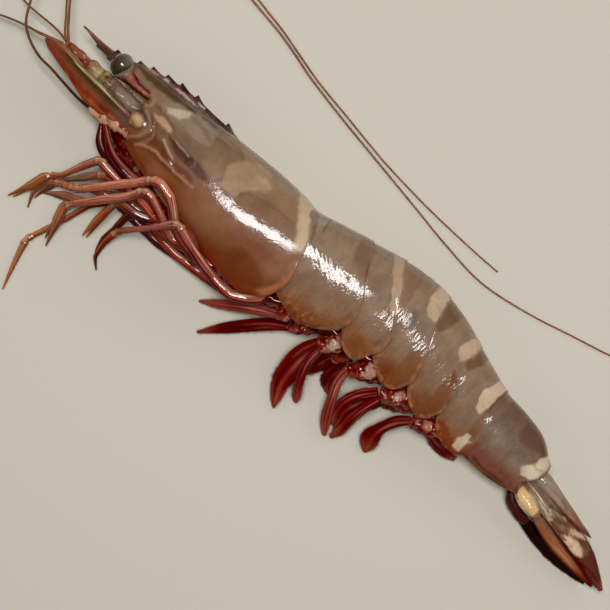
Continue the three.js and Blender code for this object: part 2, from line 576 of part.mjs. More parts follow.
const LEGS = {
  leg_left_4: {
    size: 1,
    joints: [['root', -33, -9.6, 19.4], ['coxa', -35.4, -14.4, 20.4],
      ['ischium', -42.7, -16.2, 21], ['ischium', -49.2, -15, 23], ['merus', -54.5, -12.6, 26.3],
      ['merus', -58, -9.6, 29.4], ['merus', -62, -7, 31.4], ['merus', -67.9, -6, 31.4],
      ['knee', -70.9, -7.2, 30.2], ['carpus', -76.3, -13.5, 25], ['carpus', -83.2, -21, 17.5],
      ['wrist', -90.2, -28.8, 10], ['wrist', -92.5, -30.3, 8], ['wrist', -98, -33, 5],
      ['shin', -102.8, -37.1, 3.2], ['foot', -103.1, -43.2, 1.6], ['tip', -100.8, -48.4, 0.5]],
  },
  leg_left_3: {
    size: 1,
    joints: [['root', -43, -9, 19.6], ['coxa', -46, -15.4, 19.4], ['ischium', -52.4, -17.4, 20.4],
      ['merus', -59.9, -14.6, 25], ['merus', -67.5, -11.9, 27.4], ['knee', -70.7, -12.4, 26.8],
      ['carpus', -73.8, -17.5, 22.5], ['carpus', -81.7, -26.6, 14.5], ['wrist', -89.1, -35.4, 7.5],
      ['palm', -90.4, -38.4, 5.8], ['palm', -88.8, -43.5, 4.2], ['finger', -87, -49.2, 2.6],
      ['tip', -85.5, -53.8, 1.6]],
    finger: [['hinge', -89.3, -41.6, 4.6], ['finger', -88.9, -46.8, 3.2], ['tip', -87.8, -51.8, 1.6]],
  },
  leg_left_5: {
    size: 1,
    joints: [['root', -13.4, -7, 18.6], ['root', -14, -10.2, 20.2], ['coxa', -17.2, -13.6, 21.8],
      ['ischium', -22, -16.6, 22.6], ['ischium', -28.3, -17, 23.4], ['merus', -31.3, -16.6, 23.8],
      ['merus', -41.7, -15, 26.6], ['merus', -47.4, -13.5, 29], ['knee', -52.6, -12, 30.2],
      ['carpus', -54.6, -13.2, 29], ['shin', -61, -20.8, 18.5], ['shin', -68.4, -28.9, 7.6],
      ['wrist', -69.7, -31, 5.6], ['shin', -70.5, -37.1, 2.8], ['foot', -69.4, -43.3, 1.4],
      ['tip', -65.5, -46.9, 0.5]],
  },
  leg_left_2: {
    size: 0.9,
    joints: [['root', -52.6, -8.4, 19.2], ['coxa', -55.6, -15, 18.6],
      ['ischium', -62.4, -16.2, 19], ['merus', -71.2, -15.4, 18.2], ['merus', -81, -16.2, 17.4],
      ['merus', -88.6, -16, 17.8], ['knee', -91.2, -15.6, 17.8], ['carpus', -94.4, -20.8, 14.5],
      ['shin', -98.8, -29.8, 9], ['wrist', -102.2, -33.4, 6.5], ['palm', -103.9, -36, 5.4],
      ['palm', -105.4, -41.6, 3.8], ['finger', -107.5, -46.2, 2.4], ['tip', -109.3, -50.3, 1.5]],
    finger: [['hinge', -104.8, -39.6, 4], ['finger', -106.2, -44.8, 2.4], ['tip', -107.5, -49.3, 1.2]],
  },
  leg_left_1: {
    size: 0.8,
    joints: [['root', -60, -9, 18.8], ['coxa', -62.4, -17.6, 15], ['merus', -68.4, -20.6, 16],
      ['merus', -74.5, -21.4, 15.4], ['knee', -77, -23, 12.4], ['carpus', -77.5, -26.8, 8.5],
      ['palm', -77.8, -29.9, 6.6], ['palm', -78.1, -33.6, 4.8], ['finger', -78.5, -38.1, 3],
      ['tip', -78.4, -41.2, 2]],
    finger: [['hinge', -77.6, -32.6, 5], ['finger', -77.2, -37.2, 3], ['tip', -76.9, -40.7, 1.6]],
  },
  leg_right_5: {
    size: 0.95,
    joints: [['root', -15.4, -7.4, 12.8], ['coxa', -18, -12.6, 11.4],
      ['ischium', -25.8, -17.4, 9.4], ['ischium', -33.8, -18.9, 8], ['merus', -47.8, -20.9, 7],
      ['merus', -63.7, -20.4, 7.4], ['knee', -69.1, -20.9, 7.4], ['carpus', -70.8, -23.9, 6.6],
      ['shin', -71.4, -31, 3.4], ['shin', -71.9, -36.1, 1.8], ['foot', -70.6, -41.2, 1],
      ['tip', -68.4, -44.8, 0.5]],
  },
  leg_right_4: {
    size: 0.95,
    joints: [['root', -35, -9.4, 12.8], ['coxa', -38.6, -15.6, 10.6],
      ['ischium', -45.7, -20.4, 4.6], ['merus', -55.8, -22.6, 3.2], ['merus', -69.7, -22.9, 3.4],
      ['knee', -76.6, -23, 4], ['carpus', -80.2, -25, 4.6], ['shin', -84.4, -31.4, 3.6],
      ['shin', -87.6, -42.1, 1.5], ['shin', -91.8, -54.7, 1.5], ['wrist', -92.4, -57.2, 1.6],
      ['shin', -90.5, -63.8, 1.4], ['foot', -88.3, -69.9, 1.2], ['tip', -85.6, -77.1, 0.5]],
  },
  leg_right_3: {
    size: 0.9,
    joints: [['root', -45.4, -9, 12.8], ['coxa', -48.6, -16.2, 11.6],
      ['ischium', -55.3, -18.8, 11.4], ['merus', -64.8, -18.6, 11.6], ['knee', -74, -19.6, 11.4],
      ['carpus', -79.6, -23.8, 9.6], ['wrist', -85.9, -30.6, 6.4], ['palm', -89.7, -33.3, 4.6],
      ['palm', -93.8, -35.2, 2.4], ['finger', -98.6, -38.6, 1.2], ['tip', -101.6, -41, 0.6]],
  },
  leg_right_2: {
    size: 0.85,
    joints: [['root', -54.4, -8.4, 12.8], ['coxa', -57.3, -14.6, 12.8],
      ['merus', -65.1, -15.8, 13.2], ['merus', -76.7, -17.2, 13.4], ['merus', -84.6, -18.2, 13.4],
      ['knee', -87.6, -19, 12.8], ['carpus', -91.6, -23.6, 9.4], ['shin', -96.4, -29.3, 5.6],
      ['wrist', -98.8, -32, 3.6], ['palm', -100.6, -36.6, 2.2], ['finger', -101.4, -40.6, 1],
      ['tip', -101.6, -44, 0.5]],
  },
  leg_right_1: {
    size: 0.75,
    joints: [['root', -62.2, -8.4, 12.8], ['coxa', -64.2, -14.8, 9.2],
      ['merus', -69.2, -17.4, 8.2], ['merus', -74.1, -19.6, 7.4], ['knee', -79.5, -21.4, 7],
      ['carpus', -83.4, -24.2, 7.6], ['wrist', -86.4, -25.6, 5.4], ['palm', -89.4, -26.6, 3.6],
      ['finger', -93, -29.2, 2], ['tip', -95, -31.6, 1]],
  },
};
for (const [name, { size, joints, finger }] of Object.entries(LEGS)) {
  add(name, COLOUR.leg, (grow) => leg(joints, size, finger, grow));
}

// ---------------------------------------------------------------- swimming legs

// Each has a fleshy base, then one or two blades that hang to the surface
const SWIMMERETS = {
  pleopod_left_1: {
    base: [[1, -1.6, 20, 2.2], [-2, -7.2, 19, 2.4], [-4.6, -9.6, 17.4, 1.8]],
    blades: [{ spine: [[-4.4, -9.5, 17.4, 1.3], [-10, -12.8, 14, 1.8], [-18, -18.6, 8.6, 1.7],
      [-25, -24, 4, 1.3], [-29.6, -27.4, 1.4, 0.3]], across: [-0.6, 0.8, 0.2] }],
  },
  pleopod_right_1: {
    base: [[9.4, 0.4, 11, 2.8], [6.2, -5.6, 9, 3], [1.6, -10.2, 7, 2.1]],
    blades: [{ spine: [[1.4, -10.2, 7, 1.4], [-4, -14.4, 5.4, 2], [-10, -21, 3.6, 2.1],
      [-16.4, -29, 2, 1.6], [-21.8, -36.4, 1.2, 0.3]], across: [-0.8, 0.6, 0.1] }],
  },
  pleopod_left_2: {
    base: [[20.4, 4, 19.4, 3], [17.6, -3, 19.4, 3.5], [14, -6.8, 18, 3.1]],
    blades: [
      { spine: [[14.4, -5.2, 17.6, 2.2], [12.8, -12.4, 12.8, 3.5], [12.8, -20, 8.4, 3.8],
        [14, -27, 5, 3.2], [16.8, -32.4, 2.6, 2], [19.2, -36.2, 1.4, 0.3]],
          across: [1, 0.15, 0.2] },
      { spine: [[15.6, -5.6, 19, 1.5], [15.6, -13.6, 15, 1.5], [18.4, -21, 10, 1.5],
        [22, -26.6, 5.8, 1.5], [23.6, -28.6, 4.2, 0.5]], across: [0.9, 0.4, 0.2] },
    ],
  },
  pleopod_right_2: {
    base: [[25.4, 4, 9.4, 2.8], [24, -2.2, 7.4, 3.2], [21.4, -6.4, 5.2, 2.6]],
    blades: [{ spine: [[21.4, -6, 5.2, 2], [19.6, -10.6, 3.8, 2.6], [17.8, -15.6, 2.4, 2.3],
      [16.6, -20, 1.4, 0.4]], across: [1, 0.3, 0.2] }],
  },
  pleopod_left_3: {
    base: [[37.4, 4.6, 18, 3], [32.8, -2, 18.2, 3.4], [28.4, -5.2, 17, 2.8]],
    blades: [{ spine: [[28, -5, 16.8, 1.4], [28.6, -11, 13.8, 1.5], [32.2, -18.4, 9.6, 1.6],
      [36.4, -25.4, 5, 1.8], [40, -29.8, 2.4, 0.6]], across: [1, 0.5, 0.2] }],
  },
  pleopod_right_3: {
    base: [[41, 4.6, 8.6, 2.8], [36.4, -1.2, 6.4, 3], [28.4, -5.8, 4.6, 2.3]],
    blades: [{ spine: [[28, -5.4, 4.6, 1.8], [26, -10, 3.4, 2.8], [26.8, -14.6, 2.2, 2.6],
      [30.2, -17.6, 1.4, 0.6]], across: [1, -0.1, 0.2] }],
  },
  pleopod_left_4: {
    base: [[53.4, 5, 16, 3], [47.8, -0.6, 16.6, 3.4], [43, -3.6, 15.6, 2.9]],
    blades: [
      { spine: [[41.8, -3.6, 15.2, 1.5], [38, -9, 12.4, 1.6], [36, -14.6, 9.4, 1.6],
        [36.6, -20, 6.6, 1.6], [39.2, -24.8, 4.4, 0.5]], across: [1, -0.3, 0.2] },
      { spine: [[44.2, -4.8, 15.6, 1.5], [42.8, -11, 11.8, 1.7], [42.4, -18, 7.6, 1.8],
        [42.6, -24.6, 3.8, 1.8], [42.2, -28.8, 2, 0.5]], across: [1, 0, 0.2] },
    ],
  },
  pleopod_right_4: {
    base: [[57, 4.6, 8, 2.8], [52.6, -0.8, 5.8, 3], [47, -5.4, 4, 2.1]],
    blades: [{ spine: [[46.8, -5, 3.8, 1.4], [44, -8.6, 2.8, 2], [40.6, -12.6, 2, 2],
      [38.4, -16.4, 1.4, 0.4]], across: [1, 0.3, 0.1] }],
  },
  pleopod_left_5: {
    base: [[70.4, 4.6, 14.4, 2.9], [64.2, -0.2, 14.4, 3.2], [58.4, -2.6, 13.4, 2.6]],
    blades: [{ spine: [[58.4, -2.4, 13.4, 1.5], [55, -6.6, 11, 1.9], [53, -12.4, 7.6, 1.9],
      [52.8, -17.6, 4.6, 3], [54, -20.6, 3, 2.8], [55.4, -23.6, 1.6, 0.5]],
      across: [1, 0.2, 0.2] }],
  },
  pleopod_right_5: {
    base: [[69.4, 3.6, 7.4, 2.2], [67.6, -1.2, 5.6, 2.2]],
    blades: [{ spine: [[67.4, -1.4, 5.6, 1.5], [72, -2, 5, 1.9], [77, -1.8, 4.6, 1.9],
      [81.4, -1.2, 4.4, 0.5]], across: [0, 1, 0.5] }],
  },
};
const SWIMMERET_THICKNESS = 0.6;
for (const [name, { base, blades }] of Object.entries(SWIMMERETS)) {
  add(name, COLOUR.crimson, (grow) =>
    join([
      limb(base, grow),
      ...blades.map((shape) => blade({ thick: SWIMMERET_THICKNESS, ...shape }, grow)),
    ]));
}

// ---------------------------------------------------------------- clearances and the model

// Cuts each piece back by the clearance from the pieces before it that it would touch
function fitted(all) {
  const done = [];
  for (const piece of all) {
    let body = piece.make(0);
    const box = body.boundingBox();
    for (const other of done) {
      const apart = [0, 1, 2].some(
        (k) => box.min[k] > other.box.max[k] + GAP || box.max[k] < other.box.min[k] - GAP);
      if (apart) continue;
      const cut = body.subtract(other.make(GAP));
      if (cut.volume() < body.volume() - 1e-6) body = cut;
    }
    const parts = body.decompose().sort((a, b) => b.volume() - a.volume());
    done.push({ ...piece, box, body: parts[0] });
  }
  return done;
}

const prawn = new THREE.Group();
prawn.position.set(-REST_SPOT[0], -REST_SPOT[1], 0);
for (const { name, colour, body } of fitted(pieces)) {
  const { vertProperties, triVerts } = body.getMesh();
  const geometry = new THREE.BufferGeometry();
  geometry.setAttribute('position', new THREE.BufferAttribute(vertProperties, 3));
  geometry.setIndex(new THREE.BufferAttribute(triVerts, 1));
  geometry.computeVertexNormals();
  const material = new THREE.MeshStandardMaterial({ color: colour, roughness: 0.3, metalness: 0 });
  const mesh = new THREE.Mesh(geometry, material);
  mesh.name = name;
  prawn.add(mesh);
}

export default prawn;
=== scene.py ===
# %% [markdown]
# # A raw tiger prawn, lying on its right flank
#
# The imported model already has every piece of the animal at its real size, but with coarse facets.
# Here each of those pieces gets a fine skin that is worked out from the same lines, then its
# colours, and then a wet finish. All lengths are in millimetres until a mesh is made.

import math

import bpy
import numpy as np
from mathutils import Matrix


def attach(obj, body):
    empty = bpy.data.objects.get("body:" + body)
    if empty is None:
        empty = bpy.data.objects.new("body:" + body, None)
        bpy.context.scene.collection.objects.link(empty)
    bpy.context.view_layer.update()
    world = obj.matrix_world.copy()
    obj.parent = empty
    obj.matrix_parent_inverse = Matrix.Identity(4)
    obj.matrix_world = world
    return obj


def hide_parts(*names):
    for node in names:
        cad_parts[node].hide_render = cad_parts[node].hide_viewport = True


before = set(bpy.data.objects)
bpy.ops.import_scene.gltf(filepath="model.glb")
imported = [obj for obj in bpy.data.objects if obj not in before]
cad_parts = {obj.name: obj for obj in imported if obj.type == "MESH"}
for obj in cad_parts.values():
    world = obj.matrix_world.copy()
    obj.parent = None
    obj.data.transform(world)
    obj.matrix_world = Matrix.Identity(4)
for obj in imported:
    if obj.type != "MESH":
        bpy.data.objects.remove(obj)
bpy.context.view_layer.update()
print("packed nodes:", len(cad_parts))

# %% [markdown]
# ## Where things are
#
# The lines of the body are measured in a frame with its zero near the middle of the abdomen.
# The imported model's zero is the flat spot of the flank that the prawn lies on, so a finished
# piece is moved from one to the other, and from millimetres to metres, in one place.

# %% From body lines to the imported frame
REST_SPOT = np.array([-26.0, 6.0, 0.0])
MM = 0.001


def placed(points):
    """Points on the body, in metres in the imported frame."""
    return (np.asarray(points, float) - REST_SPOT) * MM


print("the body's zero in the packed frame:", placed([0, 0, 0]))

# %% [markdown]
# ## The camera and the light
#
# The prawn is seen from straight above, turned so that its head points to the upper left. The
# camera hangs 600 mm over the floor, which is plain and pale and catches the soft shadow.
# A long softbox hangs nearly overhead. Wet shell mirrors it as a white streak along the highest
# line of the flank, so its size and place matter more than its strength. Two more softboxes fill
# in from the back and from the front without being mirrored.

# %% Camera
camera_data = bpy.data.cameras.new("camera")
camera_data.sensor_width = 36.0
camera_data.lens = 93.0
camera = bpy.data.objects.new("camera", camera_data)
camera.location = placed([0, 0, 600])
camera.rotation_euler = (0, 0, math.radians(45))
bpy.context.scene.collection.objects.link(camera)
bpy.context.scene.camera = camera
bpy.context.scene.view_settings.view_transform = "Standard"
print("camera height:", round(camera.location.z, 3), "m")


# %% A floor that catches the shadow
def principled(name):
    material = bpy.data.materials.new(name)
    material.use_nodes = True
    tree = material.node_tree
    return material, tree, tree.nodes["Principled BSDF"]


FLOOR_WIDTH = 6.0  # in metres


def make_floor():
    material, tree, shader = principled("pale_floor")
    shader.inputs["Base Color"].default_value = (0.60, 0.55, 0.46, 1)
    shader.inputs["Roughness"].default_value = 0.75
    mesh = bpy.data.meshes.new("floor")
    half = FLOOR_WIDTH / 2
    corners = [(-half, -half, 0), (half, -half, 0), (half, half, 0), (-half, half, 0)]
    mesh.from_pydata(corners, [], [(0, 1, 2, 3)])
    mesh.materials.append(material)
    floor = bpy.data.objects.new("floor", mesh)
    floor.location.z = -0.0001
    bpy.context.scene.collection.objects.link(floor)


make_floor()
print("floor width:", FLOOR_WIDTH, "m")


# %% World and softboxes
def softbox(name, place, aim, width, height, power, mirrored=True):
    data = bpy.data.lights.new(name, "AREA")
    data.shape = "RECTANGLE"
    data.size = width
    data.size_y = height
    data.energy = power
    lamp = bpy.data.objects.new(name, data)
    lamp.location = place
    toward = np.array(aim, float) - np.array(place, float)
    yaw = math.atan2(toward[1], toward[0])
    pitch = math.acos(-toward[2] / np.linalg.norm(toward))
    lamp.rotation_euler = (pitch, 0, yaw - math.pi / 2)
    lamp.visible_glossy = mirrored
    bpy.context.scene.collection.objects.link(lamp)


def make_light():
    world = bpy.data.worlds.new("studio")
    world.use_nodes = True
    background = world.node_tree.nodes["Background"]
    background.inputs["Color"].default_value = (1.0, 0.97, 0.92, 1)
    background.inputs["Strength"].default_value = 0.055
    bpy.context.scene.world = world
    softbox("key", (-0.01, 0.085, 1.15), (-0.01, 0.0, 0.02), 0.58, 0.25, 10.2)
    softbox("side", (0.35, 0.9, 0.8), (0.0, 0.0, 0.02), 0.9, 0.7, 3.2, mirrored=False)
    softbox("front", (-0.6, -0.7, 0.8), (0.0, 0.0, 0.02), 0.8, 0.8, 1.5, mirrored=False)


make_light()
print("strength of the key light:", round(bpy.data.lights["key"].energy, 1), "W")

# %% [markdown]
# ## Lines
#
# A prawn is a set of smooth tapering shapes, so most of it follows from a few stations: how far
# along, and how high or how wide there. `curve` draws a smooth line through such stations. The
# shapes could be sculpted too, but a station that is wrong can be put right on its own.

# %% A smooth line through stations
def points_of(rows):
    """An array of points or stations, from a text of rows such as "0 1, 5 2"."""
    if isinstance(rows, str):
        rows = [row.split() for row in rows.split(",")]
    return np.array(rows, float)


def curve(stations):
    """A function that gives the line's value at any place, from stations of place and value."""
    xs, ys = points_of(stations).T
    after = np.append(np.arange(1, len(xs)), len(xs) - 1)
    before = np.insert(np.arange(len(xs) - 1), 0, 0)
    slopes = (ys[after] - ys[before]) / (xs[after] - xs[before])

    def value(at):
        at = np.clip(np.asarray(at, float), xs[0], xs[-1])
        i = np.clip(np.searchsorted(xs, at, side="right") - 1, 0, len(xs) - 2)
        span = xs[i + 1] - xs[i]
        t = (at - xs[i]) / span
        rise = (ys[i + 1] - ys[i]) * t * t * (3 - 2 * t)
        return ys[i] + rise + span * t * (1 - t) * (slopes[i] * (1 - t) - slopes[i + 1] * t)

    return value


def mix(a, b, t):
    return a + (b - a) * t


def step(low, high, value):
    t = np.clip((value - low) / (high - low), 0, 1)
    return t * t * (3 - 2 * t)


def hill(value, place, width):
    """1 at its place, and next to nothing at twice its width to either side."""
    return np.exp(-(((value - place) / width) ** 2))


print("a quarter along a soft step:", step(0, 1, 0.25))

# %% The trunk's lines
back_line = curve("-96 20.9, -85 22.5, -72 24.5, -58 26.4, -42 28, -28 28.6, -21 28.2, -10 31.5,"
    "5 35.5, 20 39.4, 33 40.5, 46 38.9, 60 35, 76 30.8, 88 30, 98 28, 107 22.6")
half_width = curve("-96 7.8, -88 10.6, -78 12.8, -65 14.9, -48 16.4, -30 17, -12 16.2, 20 15.2,"
    "40 14.1, 60 12.6, 80 10.4, 95 8.9, 107 7.4")
middle = curve("-60 16.2, -30 16.4, -12 15.6, 20 14.6, 40 13.5, 60 12.1, 80 10.8, 107 9.6,"
    "156 8.6")
head_rim = curve("-5 -88.4, -1 -90.4, 3 -93.4, 6 -94.3, 8.2 -92.5, 10.2 -95, 12.4 -93.2, 15 -94.9,"
    "22 -95.6")
carapace_rim = curve("-14 -20, -9 -13.4, -4 -10.8, 1 -10, 8 -12, 17 -15.3, 24 -20.2, 29 -22.3")
HEAD_PLANE = float(middle(-100))
print("back at the carapace's end:", round(float(back_line(-21)), 1), "mm")

# %% [markdown]
# ## Irregularity
#
# Nothing on an animal is drawn with a ruler. A smooth random field, the same on every run,
# bends the outlines of the colour patches and makes the shell slightly uneven. A noise node
# could do the first, but only a field in numbers can bend both the colours and the points.

# %% A smooth random field
LATTICE = np.random.default_rng(11).random((32, 32, 32, 3)) * 2 - 1


def drift(points, size):
    """Three smooth random numbers from -1 to 1 for each point, changing over the given size."""
    q = np.asarray(points, float) / size + 400.0
    base = np.floor(q).astype(int)
    f = q - base
    f = f * f * (3 - 2 * f)
    total = np.zeros_like(q)
    for corner in np.ndindex(2, 2, 2):
        weight = np.ones(q.shape[:-1])
        for k in range(3):
            weight = weight * (f[..., k] if corner[k] else 1 - f[..., k])
        cell = (base + np.array(corner)) % 32
        total += weight[..., None] * LATTICE[cell[..., 0], cell[..., 1], cell[..., 2]]
    return total


print("field at the origin:", np.round(drift(np.zeros(3), 5.0), 2))

# %% [markdown]
# ## Painting
#
# Colour is painted on the points of each skin, before the finish is added. A flank is painted
# on a chart: the side view of the animal as an eye 600 mm away sees it. Both flanks get the
# same marks, as on the real animal. A mark is a soft patch, a soft line, a line worn away in
# places, or a soft area. Marks need no unwrapping, and each can be moved without the others.

# %% Colours and the chart of a flank
EYE_DISTANCE = 600.0
CHART_HEIGHT = 16.0


def linear(colour):
    c = np.array(colour, float) / 255
    return np.where(c <= 0.04045, c / 12.92, ((c + 0.055) / 1.055) ** 2.4)


def chart(points):
    level = middle(points[..., 0])
    z = level + np.abs(points[..., 2] - level)
    scale = (EYE_DISTANCE - CHART_HEIGHT) / (EYE_DISTANCE - z)
    return points[..., :2] * scale[..., None]


def blend_by(value, stops):
    """A colour for each value, from stops [value, colour]."""
    places = [place for place, _ in stops]
    tints = np.array([linear(tint) for _, tint in stops])
    return np.stack([np.interp(value, places, tints[:, k]) for k in range(3)], axis=-1)


print("sand in linear light:", np.round(linear((185, 160, 125)), 3))


# %% Soft masks
def patch(at, x, y, rx, ry, turn=0.0, soft=0.5):
    c, s = math.cos(math.radians(turn)), math.sin(math.radians(turn))
    dx, dy = at[..., 0] - x, at[..., 1] - y
    away = np.hypot((dx * c + dy * s) / rx, (dy * c - dx * s) / ry)
    return 1 - step(1 - soft, 1 + soft, away)


def nearest(at, route):
    """How far each point is from the nearest stretch of a route."""
    near = np.full(at.shape[:-1], 1e9)
    for a, b in zip(route[:-1], route[1:]):
        run = b - a
        t = np.clip(((at - a) @ run) / (run @ run), 0, 1)
        near = np.minimum(near, np.linalg.norm(at - (a + t[..., None] * run), axis=-1))
    return near


def line(at, route, width, soft=0.6):
    near = nearest(at, points_of(route))
    return 1 - step(width / 2 - soft, width / 2 + soft, near)


def area(at, corners, soft=0.6):
    outline = points_of(corners)
    outline = np.concatenate([outline, outline[:1]])
    near = nearest(at, outline)
    inside = np.zeros(at.shape[:-1], bool)
    for a, b in zip(outline[:-1], outline[1:]):
        if a[1] != b[1]:
            crosses = (at[..., 1] < a[1]) != (at[..., 1] < b[1])
            where = a[0] + (b[0] - a[0]) * (at[..., 1] - a[1]) / (b[1] - a[1])
            inside ^= crosses & (at[..., 0] < where)
    return step(-soft, soft, np.where(inside, near, -near))


def worn(at, route, width, soft=0.6):
    """A line that fades in and out along its run."""
    spots = drift(np.concatenate([at, 0 * at[..., :1]], axis=-1), 1.7)[..., 0]
    return line(at, route, width, soft) * step(-0.3, 0.4, spots)


print("on a line and beside it:", line(points_of("1 0, 1 1"), "0 0, 2 0", 1))


# %% Laying one colour over others
def tinted(colours, tint, mask):
    """Lays a tint over colours, fully where the mask is 1."""
    return mix(colours, linear(tint), mask[..., None])


def between(first, second, share):
    """Colours from a first tint where the share is 0 to a second one where it is 1."""
    return mix(linear(first), linear(second), share[..., None])


def paint(colours, at, marks):
    """Lays marks [mask, tint, strength, the mask's own values] over colours, one by one."""
    for mask, tint, strength, *values in marks:
        colours = tinted(colours, tint, mask(at, *values) * strength)
    return colours


print("half way from black to white:", between((0, 0, 0), (255, 255, 255), np.array(0.5)))

# %% [markdown]
# ## Making a mesh
#
# Every skin is a stack of rings of points, joined into one closed surface with a cap at each
# end. The painted colour is kept on the mesh as an attribute that the finish reads, and so are
# the places where the film of water has dried. The prawn's fringes are rows of fine bristles.
# A hair system would need more than a mesh, so each bristle is a spike with three sides.

# %% From points and faces to a piece
VEILS = {}  # each finish mirrors this much of the room, so the paint is that much darker


def piece_of(name, points, faces, tints, material, nodes, crease):
    mesh = bpy.data.meshes.new(name)
    mesh.from_pydata(placed(points).tolist(), [], faces)
    mesh.validate()
    mesh.shade_smooth()
    mesh.set_sharp_from_angle(angle=math.radians(crease))
    layer = mesh.attributes.new("paint", "FLOAT_COLOR", "POINT")
    rgba = np.ones((len(points), 4), np.float32)
    rgba[:, :3] = np.clip(tints - VEILS[material.name], 0.0005, 1)
    layer.data.foreach_set("color", rgba.ravel())
    mesh.materials.append(material)
    piece = bpy.data.objects.new(name, mesh)
    bpy.context.scene.collection.objects.link(piece)
    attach(piece, "root")
    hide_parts(*nodes)
    return piece


print("nodes to dress:", len(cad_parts))


# %% A closed skin over rings of points
def faces_between(count, around):
    """The four-sided faces between rings, and the triangles that close the two ends."""
    k = np.arange(around)
    after = (k + 1) % around
    row = around * np.arange(count - 1)[:, None]
    sides = np.stack([row + k, row + after, row + after + around, row + k + around], axis=-1)
    last = (count - 1) * around
    middle_of_first = np.full(around, count * around)
    return (sides.reshape(-1, 4), np.stack([after, k, middle_of_first], axis=1),
            np.stack([last + k, last + after, middle_of_first + 1], axis=1))


def skin(name, rings, colours, material, nodes, crease=48, dry=None):
    """One piece. dry is the dry share of its film of water, 0 for wet, and 1 for dry."""
    points, tints = [np.concatenate([values.reshape(-1, 3), values[[0, -1]].mean(axis=1)])
                     for values in (rings, colours)]
    sides, front_end, rear_end = faces_between(*rings.shape[:2])
    corners = points[sides]
    facing = np.cross(corners[:, 2] - corners[:, 0], corners[:, 3] - corners[:, 1])
    volume = np.einsum("ij,ij->", corners[:, 0] - points.mean(axis=0), facing)
    faces = sides.tolist() + front_end.tolist() + rear_end.tolist()
    if volume < 0:  # the faces look inward, so turn them round
        faces = [face[::-1] for face in faces]
    piece = piece_of(name, points, faces, tints, material, nodes, crease)
    if dry is not None:
        layer = piece.data.attributes.new("dry", "FLOAT", "POINT")
        values = np.zeros(len(points), np.float32)
        values[:-2] = np.ravel(dry)  # all points but the middles of the two ends
        layer.data.foreach_set("value", values)


print("faces on 3 rings of 8 points:", sum(len(part) for part in faces_between(3, 8)))


# %% Fringes of fine hairs
def hairs(name, roots, tips, width, tint, material, slot, nodes):
    """A fringe. Every hair is a three-sided spike from its root to its tip."""
    way = tips - roots
    side = np.cross(way, [0.0, 0.0, 1.0])
    side /= np.linalg.norm(side, axis=1, keepdims=True) + 1e-9
    up = np.cross(side, way)
    up /= np.linalg.norm(up, axis=1, keepdims=True) + 1e-9
    feet = [roots + width * (math.cos(a) * side + math.sin(a) * up) for a in (0.0, 2.1, 4.2)]
    points = np.stack(feet + [tips], axis=1).reshape(-1, 3)
    points[:, 2] = np.maximum(points[:, 2], 0.05)
    first = 4 * np.arange(len(roots))
    faces = [[k + i for i in face] for k in first.tolist()
             for face in ((0, 1, 2), (1, 0, 3), (2, 1, 3), (0, 2, 3))]
    tints = linear(tint) * (1 + 0.3 * drift(points, 1.5)[:, :1])
    return piece_of(name, points, faces, tints, material, nodes, 30)


def edge_hairs(edge, inside, length, count, lean=0.8, ragged=0.5):
    """Roots and tips of hairs that grow from an edge, away from inside, leaning along it."""
    rows = np.linspace(0, len(edge) - 1, count)
    k = np.arange(len(edge))
    roots, inner = [np.stack([np.interp(rows, k, line[:, j]) for j in range(3)], axis=1)
                    for line in (edge, inside)]
    out = roots - inner
    out /= np.linalg.norm(out, axis=1, keepdims=True) + 1e-9
    along = np.gradient(roots, axis=0)
    along /= np.linalg.norm(along, axis=1, keepdims=True) + 1e-9
    way = out + lean * along
    way /= np.linalg.norm(way, axis=1, keepdims=True)
    wild = drift(roots, 0.45)
    return roots - out * 0.2, roots + way * length * (1 + ragged * wild[:, :1]) + wild * 0.25


rim = np.linspace([0, 0, 5], [20, 0, 5], 30)
roots, tips = edge_hairs(rim, rim - [0, 3, 0], 2.0, 40)
print("hairs of", np.round(np.linalg.norm(tips - roots, axis=1).mean(), 1), "mm on a test edge")


# %% [markdown]
# ## Wet finishes
#
# Raw shell is thin, slightly see-through horn with pigment dots, over moist flesh, and all of it
# is wet. The painted colour gets fine mottling, light goes a little way into the surface
# (subsurface), and a clear coat stands for the film of water. The film is thinner in dry spots
# and where a thin limb turns away, or every limb would get a white outline. A faint bump breaks
# up the reflections, because a perfect mirror looks like plastic.

# %% Small helpers for shader nodes
def node(tree, kind, **values):
    made = tree.nodes.new(kind)
    for key, value in values.items():
        setattr(made, key, value)
    return made


def noise(tree, coordinates, scale, detail, distortion=0.0):
    made = node(tree, "ShaderNodeTexNoise")
    made.inputs["Scale"].default_value = scale
    made.inputs["Detail"].default_value = detail
    made.inputs["Distortion"].default_value = distortion
    tree.links.new(coordinates, made.inputs["Vector"])
    return made.outputs["Fac"]


def stretched(tree, coordinates, stretch):
    made = node(tree, "ShaderNodeVectorMath", operation="MULTIPLY")
    made.inputs[1].default_value = stretch
    tree.links.new(coordinates, made.inputs[0])
    return made.outputs["Vector"]


def ranged(tree, value, low, high, out_low, out_high):
    made = node(tree, "ShaderNodeMapRange")
    for key, number in zip(("From Min", "From Max", "To Min", "To Max"),
                           (low, high, out_low, out_high)):
        made.inputs[key].default_value = number
    tree.links.new(value, made.inputs["Value"])
    return made.outputs["Result"]


def scaled(tree, colour, factor):
    made = node(tree, "ShaderNodeVectorMath", operation="SCALE")
    tree.links.new(colour, made.inputs[0])
    tree.links.new(factor, made.inputs["Scale"])
    return made.outputs["Vector"]


def combined(tree, a, b, operation="ADD"):
    made = node(tree, "ShaderNodeMath", operation=operation)
    tree.links.new(a, made.inputs[0])
    tree.links.new(b, made.inputs[1])
    return made.outputs["Value"]


HELPERS = (noise, stretched, ranged, scaled, combined)
print("node helpers:", ", ".join(helper.__name__ for helper in HELPERS))


